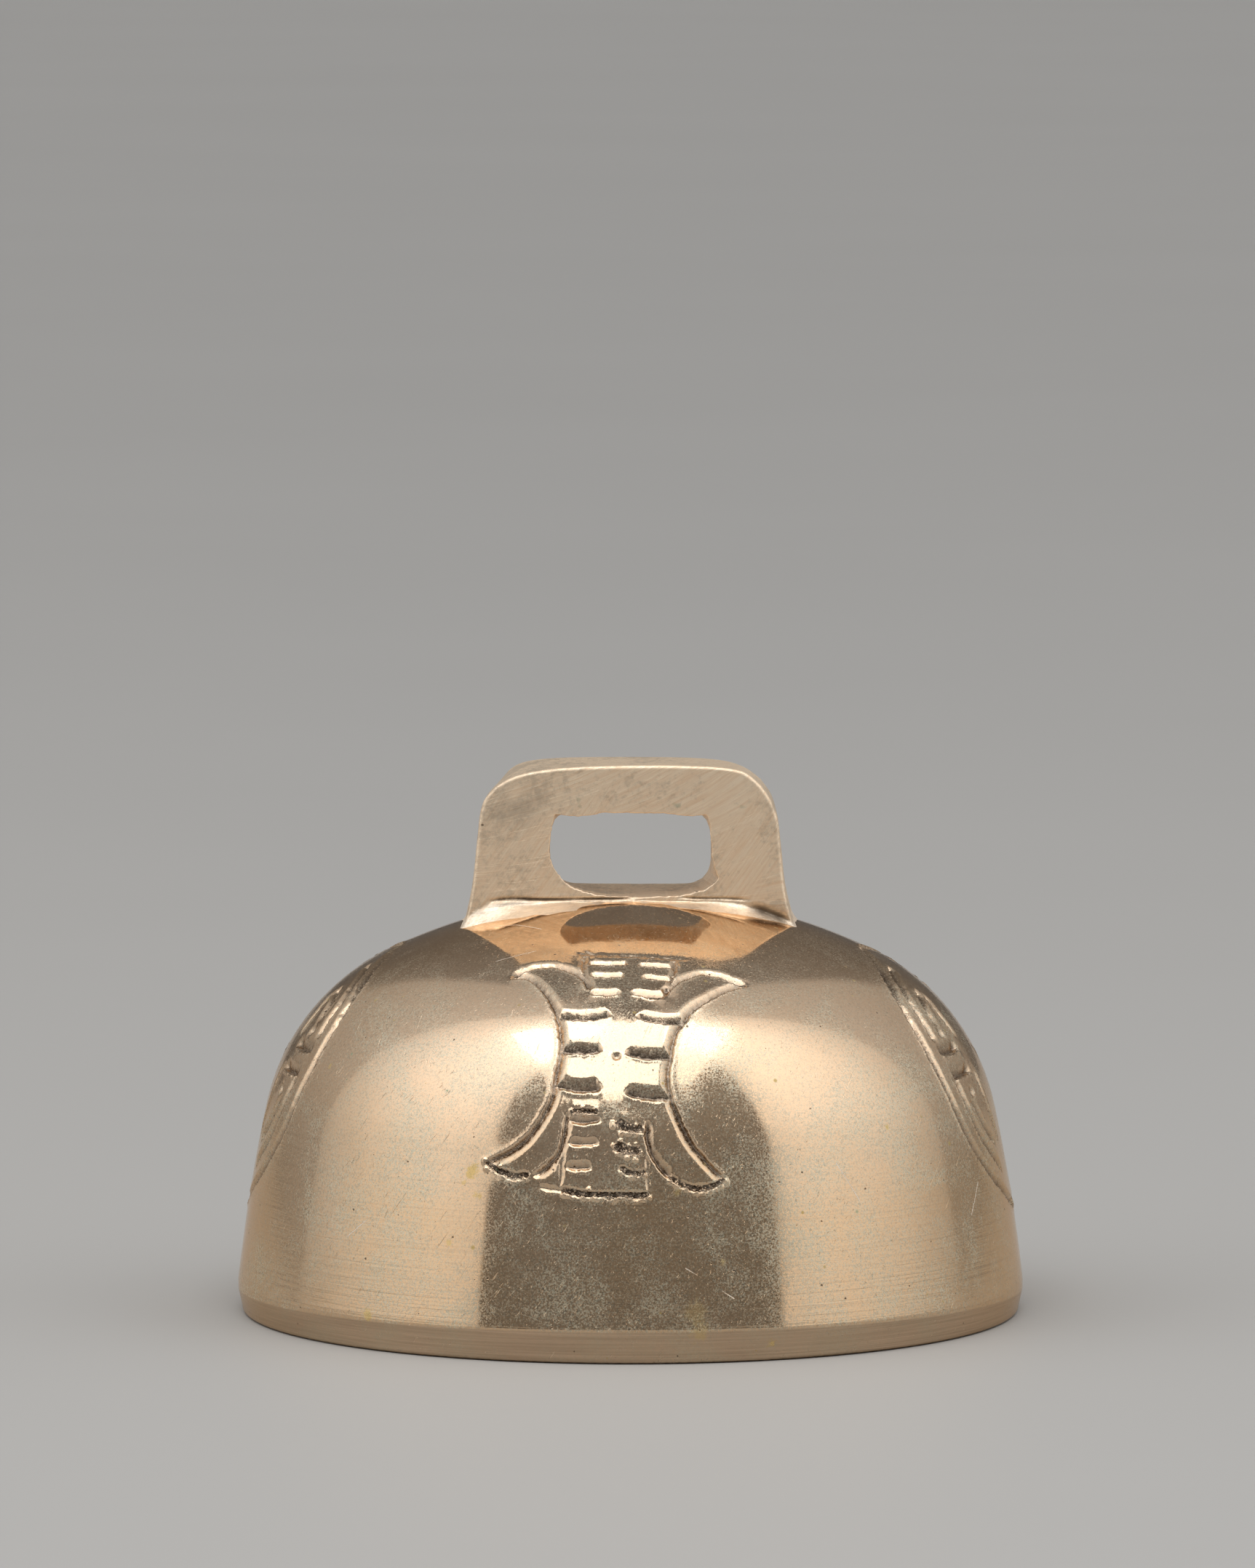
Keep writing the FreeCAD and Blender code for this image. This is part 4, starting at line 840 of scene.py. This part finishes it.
metal = 1.0 - film * 0.32 - calc("MAXIMUM", stainMask, spots["Pit"]) * 0.5
metal = calc("SUBTRACT", metal, scratchMask * 0.3, clamp=True)
height = turning * lowDown * 1.3 + bandLines * band * 1.2 - pit * 2.2
height = height + noise(where, 5200.0, 3.0, 0.6) * (rough * 1.8 + 0.015) - hairs + lumps * 6.0
height = height - scratchMask * 0.8 + mottle * (film * 0.1) + noise(where, 900.0, 4.0) * inside * 4.0
tint = {"Specular Tint": (1.0, 0.86, 0.72, 1)}
closeMaterial(colour, metal, roughness, height, bumpStrength=0.55, bumpDepth=0.00003, more=tint)

bellShell = turnedOnLathe("bellShell", sheetMesh(), profilePoints, *bellForm["uneven"], bellFinish)
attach(bellShell, "bell")
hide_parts("bell_body")
print("stage: bell shell", triangleCount(bellShell), "triangles")


# the hanging loop: a strap with a filed eye, its foot scraped down onto the crown
loopForm = {
    "halfDepth": 3.75, "edgeRound": 0.36, "eyeRound": 0.13, "sink": 0.15, "coveLean": 0.45, "sideSpread": 0.35,
    "stations": (52, 40, 40, 100), "faceSteps": 54, "wallSteps": 14, "seed": 11,
}
# outlines from the top's middle clockwise, in quarters that belong together: top, shoulder, flank, foot (x, z in mm)
loopFrontRight = [
    [(0, 55.95), (4, 55.95), (7.4, 55.85), (9.6, 55.7), (11.2, 55.4), (12.1, 54.9), (13.25, 53.87)],
    [(13.25, 53.87), (14.15, 52.5), (14.8, 50.9), (15.06, 49.6), (15.3, 46.6)],
    [(15.3, 46.6), (15.65, 43.4), (16.15, 40.9), (16.6, 39.4)],
]
loopFrontLeft = [
    [(0, 55.95), (-3.9, 55.85), (-7.7, 55.6), (-10.7, 55.12), (-12.6, 54.44), (-13.7, 53.76)],
    [(-13.7, 53.76), (-14.72, 52.6), (-15.2, 51.2), (-15.5, 48.8), (-15.75, 46.2)],
    [(-15.75, 46.2), (-16.0, 43.9), (-16.4, 41.6), (-16.95, 39.3)],
]
loopBackRight = [
    [(0, 56.15), (4, 56.12), (7.4, 56.0), (9.6, 55.75), (11.0, 55.35), (12.1, 54.8), (13.3, 53.85)],
    [(13.3, 53.85), (14.3, 52.4), (14.85, 50.7), (15.1, 49.4), (15.4, 46.6)],
    [(15.4, 46.6), (15.75, 43.4), (16.3, 40.9), (16.8, 39.3)],
]
loopBackLeft = [
    [(0, 56.15), (-3.9, 56.15), (-7.7, 56.05), (-10.4, 55.75), (-12.0, 55.1), (-13.3, 53.7)],
    [(-13.3, 53.7), (-14.6, 52.2), (-15.15, 50.8), (-15.45, 48.8), (-15.75, 46.2)],
    [(-15.75, 46.2), (-16.0, 43.9), (-16.4, 41.6), (-16.9, 39.3)],
]
eyeFrontRight = [
    [(0, 51.15), (2.9, 51.05), (5.1, 50.9), (6.9, 50.83), (7.6, 50.95), (7.92, 50.6)],
    [(7.92, 50.6), (8.05, 49.9), (8.15, 48.5), (8.29, 46.6)],
    [(8.29, 46.6), (8.4, 45.9), (8.74, 45.1), (8.86, 44.5), (8.3, 43.8)],
    [(8.3, 43.8), (7.3, 43.3), (6.0, 42.95), (4.6, 42.68), (2.2, 42.58), (0, 42.56)],
]
eyeFrontLeft = [
    [(0, 51.15), (-1.5, 51.16), (-3.0, 51.14), (-4.3, 50.84), (-5.5, 50.78), (-6.5, 50.92), (-7.6, 50.93)],
    [(-7.6, 50.93), (-7.95, 49.7), (-8.1, 48.7), (-8.18, 47.0)],
    [(-8.18, 47.0), (-8.05, 46.3), (-7.7, 45.4), (-7.2, 44.7), (-6.7, 44.1)],
    [(-6.7, 44.1), (-5.3, 43.35), (-3.9, 42.9), (-2.1, 42.6), (0, 42.56)],
]
eyeBackRight = [
    [(0, 51.0), (3, 51.0), (5.6, 50.9), (6.9, 50.4), (7.7, 49.7)],
    [(7.7, 49.7), (8.1, 48.6), (8.2, 47.5), (8.2, 46.4)],
    [(8.2, 46.4), (8.15, 45.4), (7.9, 44.5), (7.3, 43.7)],
    [(7.3, 43.7), (6.2, 43.25), (4.6, 43.16), (2.2, 43.15), (0, 43.15)],
]
eyeBackLeft = [[(-x, z + 0.02) for x, z in part] for part in eyeBackRight]
# the cove round the foot: how far it reaches out, and the level of the ridge it falls from, along x
footRamp = [
    (-17, 0.3), (-15.7, 0.8), (-12, 2.1), (-8.4, 3.1), (-1.6, 2.2), (2.9, 1.8), (7.4, 2.1), (11.5, 1.4), (15.5, 0.4),
    (17, 0.3),
]
footRidge = [
    (-17, 39.9), (-16, 41.0), (-14.4, 41.95), (-12, 42.15), (-8.4, 42.05), (-3.2, 42.1), (2.3, 42.2), (5.9, 42.1),
    (9, 42.05), (11.5, 41.8), (12.6, 41.3), (14.2, 40.8), (16, 40.1), (17, 39.7),
]
# scraper cuts on the front face's foot: depth, half width, points (x, z in mm)
footCuts = [
    (0.34, 0.13, [(-14.4, 42.15), (-12.2, 42.36), (-8.4, 42.3), (-3.2, 42.36), (0.5, 42.4)]),
    (0.10, 0.12, [(-13.9, 41.5), (-11.5, 41.8), (-8.5, 41.75)]),
    (0.22, 0.12, [(5.0, 42.5), (7.4, 42.42), (9.8, 42.38), (12.2, 42.25)]),
    (0.34, 0.42, [(12.0, 41.6), (13.9, 41.0), (16.3, 40.0)]),
    (0.16, 0.12, [(-16.0, 46.6), (-16.15, 44.6), (-16.4, 42.0), (-16.7, 40.2)]),
]


def domeLevel(x, y):
    crown = bellForm["crownRadius"]
    return bellForm["domeHeight"] - crown + np.sqrt(crown**2 - x * x - y * y)


def evenly(points, count):
    path, stations = smoothPath(points, 0.02)
    goals = np.linspace(0, stations[-1], count + 1)
    return np.c_[np.interp(goals, stations, path[:, 0]), np.interp(goals, stations, path[:, 1])]


def ringOutline(rightParts, leftParts, counts, footY=None):  # one closed outline with matched stations
    rightParts, leftParts = [list(part) for part in rightParts], [list(part) for part in leftParts]
    if footY is not None:
        for parts in (rightParts, leftParts):
            x = np.linspace(parts[-1][-1][0], 0, 24)
            parts.append(list(zip(x, domeLevel(x, footY) - loopForm["sink"])))
            parts[-2][-1] = parts[-1][0]
    down = np.vstack([evenly(part, n)[:-1] for part, n in zip(rightParts, counts)])
    climb = np.vstack([evenly(part[::-1], n)[:-1] for part, n in zip(leftParts[::-1], counts[::-1])])
    return np.vstack([down, climb])


def loopMesh():
    form = loopForm
    half, counts = form["halfDepth"], form["stations"]
    outerFront = ringOutline(loopFrontRight, loopFrontLeft, counts, -half)
    outerBack = ringOutline(loopBackRight, loopBackLeft, counts, half)
    eyeFront = ringOutline(eyeFrontRight, eyeFrontLeft, counts)
    eyeBack = ringOutline(eyeBackRight, eyeBackLeft, counts)
    total = len(outerFront)
    order = np.arange(total)
    inward = eyeFront - np.roll(eyeFront, 1, 0)
    inward = np.c_[inward[:, 1], -inward[:, 0]] / np.hypot(*inward.T)[:, None]
    ragged = 0.05 * grainAt(order, 3, 3.1, form["seed"]) + 0.06 * grainAt(order, 9, 9.0, form["seed"] + 1)
    eyeFront = eyeFront + inward * ragged[:, None]
    low = np.clip((np.minimum(order, total - order) - sum(counts[:3])) / 14, 0, 1)  # 0 round the sides, 1 at the foot
    outRound = form["edgeRound"] * (1 - low) + 0.03
    eyeRound = form["eyeRound"] * (1 + low)
    width = np.hypot(*(outerFront - eyeFront).T)
    quarter = np.linspace(0, math.pi / 2, 5)[1:-1]
    rows = []  # share from the eye to the outside, depth
    steps = np.linspace(0, 1, form["faceSteps"])
    steps = 0.45 * steps + 0.55 * (1 - np.cos(math.pi * steps)) / 2
    faceShares = [(eyeRound + (width - eyeRound - outRound) * s) / width for s in steps]
    turnOut = [(1 - outRound * (1 - math.sin(a)) / width, outRound * (1 - math.cos(a))) for a in quarter]
    turnIn = [(eyeRound * (1 - math.sin(a)) / width, eyeRound * (1 - math.cos(a))) for a in quarter]
    rows += [(share, -half + 0 * width) for share in faceShares]
    rows += [(share, -half + rise) for share, rise in turnOut]
    for s in np.linspace(0, 1, form["wallSteps"]):
        rows.append((1 + 0 * width, -half + outRound + (2 * half - 2 * outRound) * s))
    rows += [(share, half - rise) for share, rise in turnOut[::-1]]
    rows += [(share, half + 0 * width) for share in faceShares[::-1]]
    rows += [(share, half - rise) for share, rise in turnIn]
    for s in np.linspace(0, 1, form["wallSteps"]):
        rows.append((0 * width, half - eyeRound - (2 * half - 2 * eyeRound) * s))
    rows += [(share, -half + rise) for share, rise in turnIn[::-1]]
    share = np.array([row[0] for row in rows])[:, :, None]
    depth = np.array([row[1] for row in rows])
    back = ((depth + half) / (2 * half))[:, :, None]
    eye, outer = eyeFront + (eyeBack - eyeFront) * back, outerFront + (outerBack - outerFront) * back
    flat = eye * (1 - share) + outer * share
    x, z, y = flat[:, :, 0], flat[:, :, 1], depth.copy()
    front = np.clip(-y / half, 0, 1) ** 6
    furrowShade = np.zeros_like(y)
    for deep, wide, points in footCuts:
        path, stations = smoothPath(points, 0.15)
        gap = (x[:, :, None] - path[:, 0]) ** 2 + (z[:, :, None] - path[:, 1]) ** 2
        nearest = gap.argmin(2)
        taper = np.clip(np.minimum(stations, stations[-1] - stations) / 1.4, 0.05, 1) ** 0.7
        taper = (taper * (1 + 0.35 * grainAt(stations + 20, deep * 90, 1.6, 23)))[nearest]
        groove = front * taper * np.exp(-gap.min(2) / wide**2)
        y += deep * groove
        # this furrow mask only darkens the colour along the scraper grooves: painted shade in the furrows
        furrowShade = np.maximum(furrowShade, np.clip(deep * 3, 0, 1) * groove)
    scrape = 0.035 * grainAt(x * 0.2 + 50, z * 2.4 + 50, 0.5, 5) * np.clip(1.6 - (z - domeLevel(x, 3.75)) / 1.4, 0, 1)
    y += front * scrape
    above = z - domeLevel(x, np.clip(y, -half, half))
    across = np.where(y < 0, x, -x)
    ridge = np.interp(across, *zip(*footRidge)) + 0.05 * grainAt(x + 50, 0, 0.9, 14)
    tall = np.maximum(ridge - domeLevel(x, half), 0.25)
    fall = np.clip((ridge - z) / tall, 0, 1.4)
    reach = np.interp(across, *zip(*footRamp)) * (1 + 0.12 * grainAt(x + 50, 0, 1.3, 8))
    steep = np.minimum(form["coveLean"] * tall, 0.6 * reach)
    y += (steep * fall + (reach - steep) * fall**2.4) * y / half
    x += np.sign(x) * form["sideSpread"] * fall**1.5 * np.clip((abs(x) - 13.5) / 2.5, 0, 1)
    z = np.where(fall > 0, domeLevel(x, y) + above, z)
    ringRows = len(rows)
    places = np.stack([x, y, z], 2).reshape(-1, 3) * mm
    i, j = np.meshgrid(np.arange(ringRows), np.arange(total), indexing="ij")
    k, m = (i + 1) % ringRows, (j + 1) % total
    faces = np.stack([i * total + j, i * total + m, k * total + m, k * total + j], 2).reshape(-1, 4)
    mesh = bpy.data.meshes.new("hangingLoop")
    mesh.from_pydata(places.tolist(), [], faces[:, ::-1].tolist())
    keepValues(mesh, "plateFace", abs(depth) >= half - 1e-6)
    # the scraped cove's mask also carries a painted highlight: its pale tone is partly fresh scraped metal, partly
    # painted highlight
    keepValues(mesh, "scrapedAndHighlit", np.clip(fall * 6, 0, 1))
    keepValues(mesh, "furrowShade", furrowShade)
    return mesh


# hand filing: the surface rises and falls in short flats along the file's stroke
filing, entry = geometryTree("handFiled", {"Flat Depth": "Float", "Stroke Turn": "Float", "Seed": "Float"})
turnedSpot = spun(put("GeometryNodeInputPosition"), "Y", entry["Stroke Turn"])
flats = seededNoise(vectorCalc("MULTIPLY", turnedSpot, (140, 300, 520)), entry["Seed"], 1.0, 2.0)
alongNormal(entry["Geometry"], (flats - 0.5) * entry["Flat Depth"], entry["Finish"])

loopWear = {
    "metal": ((0.84, 0.65, 0.465), (1.0, 0.83, 0.625)), "tarnish": (0.40, 0.33, 0.25), "smudge": (0.42, 0.35, 0.27),
    "smudgeAt": (-0.0119, -0.0037, 0.0517), "green": (0.20, 0.30, 0.20), "pit": (0.08, 0.06, 0.04),
    "scrapedAndHighlit": (0.97, 0.86, 0.73), "furrowShade": (0.10, 0.065, 0.04), "middle": (0, 0, 0.048), "steepStroke": 0.95,
}
wear = loopWear
loopFinish, where = newMaterial("loopBronze")
level = separate(where)[2]
bend = (noise(where, 50.0, 0.0) - 0.5) * 0.16
along = spun(where, "Y", span(level, 0.043, 0.055, 0.10, 0.45) + bend, wear["middle"])
coarse = fillGroup(strokes, along, 190.0, 4200.0, 0.60)
second = fillGroup(strokes, spun(where, "Y", wear["steepStroke"], wear["middle"]), 260.0, 4600.0, 0.60)
region = span(noise(where, 130.0, 2.0), 0.46, 0.60, smooth=True)
hair = fillGroup(strokes, along, 260.0, 7000.0, 0.64)["Streak"]
patch = fillGroup(tarnish, where, 170.0, 1600.0, 0.42)
pit = fillGroup(pits, where, 600.0, 0.05, 0.10)["Pit"]
green = span(noise(where, 420.0, 2.0), 0.72, 0.77)
streaks = put("Mix", {0: region, 2: coarse["Streak"], 3: second["Streak"]})
smudge = span(vectorCalc("DISTANCE", where, wear["smudgeAt"]), 0.0008, 0.0042, 1.0, 0.0, smooth=True)
smudge = smudge * span(noise(along, 420.0, 4.0, 0.7), 0.35, 0.6)
colour = blend(span(streaks, 0.35, 0.65), *wear["metal"])
# the scraped cove's near-white tone is fresh scraped metal plus a painted highlight
for share, tone in (
    (patch * 0.42, "tarnish"), (smudge * 0.5, "smudge"), (green * 0.35, "green"), (pit * 0.7, "pit"),
    # the furrow tone is painted shade, darkening the scraper furrows by their depth
    (attribute("scrapedAndHighlit") * span(hair, 0.35, 0.65, 0.15, 0.8), "scrapedAndHighlit"), (attribute("furrowShade") * 0.8, "furrowShade"),
):
    colour = blend(share, colour, wear[tone])
roughness = span(streaks, 0.35, 0.65, 0.60, 0.46) + (1.0 - attribute("plateFace")) * 0.04
height = streaks + hair * 0.4 - coarse["Line"] * 0.25 - pit * 0.8
closeMaterial(colour, 1.0, roughness, height, bumpStrength=0.5, bumpDepth=0.00007)

values = {"Flat Depth": 0.07 * mm, "Stroke Turn": 0.35, "Seed": 2.0, "Finish": loopFinish}
hangingLoop = makeFromTree("hangingLoop", loopMesh(), filing, values)
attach(hangingLoop, "bell")
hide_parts("hanging_loop")
print("stage: hanging loop", triangleCount(hangingLoop), "triangles")

# the clapper: staple, link, forged rod and ball
clapperForm = {
    "wire": 2.0, "wireSides": 28, "stapleHalfSpan": 5.0, "stapleBend": 2.0, "stapleBar": 34.5, "stapleTop": 40.3,
    "linkHalf": 2.1, "linkTop": 34.49, "linkFoot": 30.51, "eyeCentre": 28.4, "eyeRadius": 2.09,
    "ballRadius": 6.5, "ballCentre": 7.961, "ballFlat": 2.4, "boreRadius": 1.02,
    "rod": [  # half outline from the eye down to the peened end: out, level
        (0, 26.2), (0.74, 26.2), (0.95, 25.7), (1.16, 25.1), (1.28, 24.4), (1.3, 23.0), (1.27, 19.0), (1.3, 15.0),
        (1.3, 14.05), (0.98, 14.0), (0.98, 8.0), (0.98, 1.92), (1.75, 1.9), (1.96, 1.78), (1.9, 1.55), (1.6, 1.25),
        (1.0, 1.03), (0, 1.0),
    ],
}
form = clapperForm

kinds = {"Diameter": "Float", "Dents": "Float", "Dent Scale": "Float", "Seed": "Float"}
wireTree, entry = geometryTree("forgedWire", kinds)
path = put("GeometryNodeMeshToCurve", {"Mesh": entry["Geometry"]})
circle = {"Resolution": form["wireSides"], "Radius": entry["Diameter"] * 0.5}
section = put("GeometryNodeCurvePrimitiveCircle", circle)
tube = put("GeometryNodeCurveToMesh", {"Curve": path, "Profile Curve": section, "Fill Caps": True})
dents = seededNoise(put("GeometryNodeInputPosition"), entry["Seed"], entry["Dent Scale"], 2.0)
alongNormal(tube, (dents - 0.62) * entry["Dents"], entry["Finish"])


def wirePiece(name, points, closed, dents, seed, finish):
    count = len(points)
    edges = [(n, (n + 1) % count) for n in range(count if closed else count - 1)]
    mesh = bpy.data.meshes.new(name + "Path")
    mesh.from_pydata([Vector(point) * mm for point in points], edges, [])
    values = {"Diameter": form["wire"] * mm, "Dents": dents * mm, "Dent Scale": 420.0, "Seed": seed, "Finish": finish}
    return makeFromTree(name, mesh, wireTree, values)


def turnedSheet(name, profile, columns, closed, step):  # a flat sheet for the lathe tree
    lengths = np.r_[0, np.cumsum([math.dist(a, b) for a, b in zip(profile, profile[1:])])]
    marks = [0.0]
    for start, end in zip(lengths, lengths[1:]):
        marks += list(np.linspace(start, end, max(2, int((end - start) / step) + 1))[1:])
    if closed:
        marks = marks[:-1]
    turns = np.linspace(-math.pi, math.pi, columns, endpoint=False)
    places, index = [], []
    for row, mark in enumerate(marks):
        pole = not closed and row in (0, len(marks) - 1)
        index.append([len(places)] * columns if pole else list(range(len(places), len(places) + columns)))
        places += [(turn, mark * mm, 0) for turn in (turns[:1] if pole else turns)]
    faces = []
    for row in range(len(marks) if closed else len(marks) - 1):
        above, below = index[row], index[(row + 1) % len(marks)]
        for n in range(columns):
            m = (n + 1) % columns
            faces.append(list(dict.fromkeys([above[n], below[n], below[m], above[m]])))
    mesh = bpy.data.meshes.new(name)
    mesh.from_pydata(places, [], faces)
    return mesh


def turnedPiece(name, profile, columns, closed, step, unevenness, seed, finish):
    sheet = turnedSheet(name, profile, columns, closed, step)
    return turnedOnLathe(name, sheet, profile, unevenness, 320.0, seed, finish)


def ironFinish(name, dark, warm, rust, shine):
    material, where = newMaterial(name)
    patch = fillGroup(tarnish, where, 380.0, 2600.0, 0.6)
    pit = fillGroup(pits, where, 1300.0, 0.3, 0.3)["Pit"]
    rusted = blend(patch * 0.7, blend(noise(where, 700.0, 4.0), dark, warm), rust)
    colour = blend(pit * 0.6, rusted, (0.03, 0.02, 0.015))
    height = noise(where, 2400.0, 4.0) - pit * 0.7
    closeMaterial(colour, 1.0 - patch * 0.55, patch * 0.3 + shine, height, bumpStrength=0.5, bumpDepth=0.00006)
    return material


wireFinish = ironFinish(
    "drawnIronWire", dark=(0.16, 0.15, 0.14), warm=(0.30, 0.27, 0.24), rust=(0.20, 0.095, 0.045), shine=0.36
)
rodFinish = ironFinish(
    "forgedIron", dark=(0.13, 0.12, 0.115), warm=(0.26, 0.24, 0.22), rust=(0.17, 0.085, 0.045), shine=0.40
)
ballFinish, where = newMaterial("ballBrass")
patch = fillGroup(tarnish, where, 260.0, 2200.0, 0.55)
ring = put("TexNoise", {"W": separate(where)[2] * 5200.0, "Detail": 3.0, "Scale": 1.0}, noise_dimensions="1D")
colour = blend(patch * 0.6, (0.60, 0.44, 0.21), (0.24, 0.18, 0.09))
closeMaterial(colour, 1.0, patch * 0.18 + 0.22, ring, bumpStrength=0.4, bumpDepth=0.00004)


def finishPiece(piece, body, node):
    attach(piece, body)
    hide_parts(node)


def arcOf(centreX, centreZ, radius, start, end, count):  # degrees anticlockwise from the right
    turns = np.radians(np.linspace(start, end, count))
    return [(centreX + radius * math.cos(t), centreZ + radius * math.sin(t)) for t in turns]


side, bend, bar, top = form["stapleHalfSpan"], form["stapleBend"], form["stapleBar"], form["stapleTop"]
run = [(-side, z) for z in np.linspace(top, bar + bend, 14)]
run += arcOf(-side + bend, bar + bend, bend, 180, 270, 14)[1:]
run += [(x, bar) for x in np.linspace(-side + bend, side - bend, 24)[1:-1]]
run += arcOf(side - bend, bar + bend, bend, 270, 360, 14)
run += [(side, z) for z in np.linspace(bar + bend, top, 14)[1:]]
points = [(x, 0, z) for x, z in run]
staple = wirePiece("clapperStaple", points, closed=False, dents=0.12, seed=1.0, finish=wireFinish)
finishPiece(staple, "bell", "clapper_staple")

top, foot, side = form["linkTop"], form["linkFoot"], form["linkHalf"]
run = arcOf(0, top, side, 0, 180, 30)
run += [(-side, z) for z in np.linspace(top, foot, 16)[1:-1]]
run += arcOf(0, foot, side, 180, 360, 30)
run += [(side, z) for z in np.linspace(foot, top, 16)[1:-1]]
points = [(0, y, z) for y, z in run]
link = wirePiece("clapperLink", points, closed=True, dents=0.12, seed=5.0, finish=wireFinish)
finishPiece(link, "link", "clapper_link")

run = arcOf(0, form["eyeCentre"], form["eyeRadius"], -90, 270, 64)[:-1]
points = [(x, 0, z) for x, z in run]
eyeRing = wirePiece("rodEye", points, closed=True, dents=0.14, seed=9.0, finish=rodFinish)
rod = turnedPiece(
    "clapperRod", form["rod"], columns=40, closed=False, step=0.35, unevenness=0.05, seed=6.0, finish=rodFinish
)
with bpy.context.temp_override(active_object=rod, selected_editable_objects=[rod, eyeRing], object=rod):
    bpy.ops.object.join()
finishPiece(rod, "clapper", "clapper_shank")

middle, radius, flat, bore = form["ballCentre"], form["ballRadius"], form["ballFlat"], form["boreRadius"]
lean = math.acos(flat / radius)
rise = radius * math.sin(lean)
outline = [(bore, middle + rise), (flat - 0.15, middle + rise)]
outline += arcOf(0, middle, radius, *np.degrees((lean - 0.03, 0.03 - lean)), 40)
outline += [(flat - 0.15, middle - rise), (bore, middle - rise), (bore, middle + rise)]
ball = turnedPiece(
    "clapperBall", outline, columns=96, closed=True, step=0.4, unevenness=0.04, seed=8.0, finish=ballFinish
)
finishPiece(ball, "clapper", "clapper_ball")
print("stage: clapper")
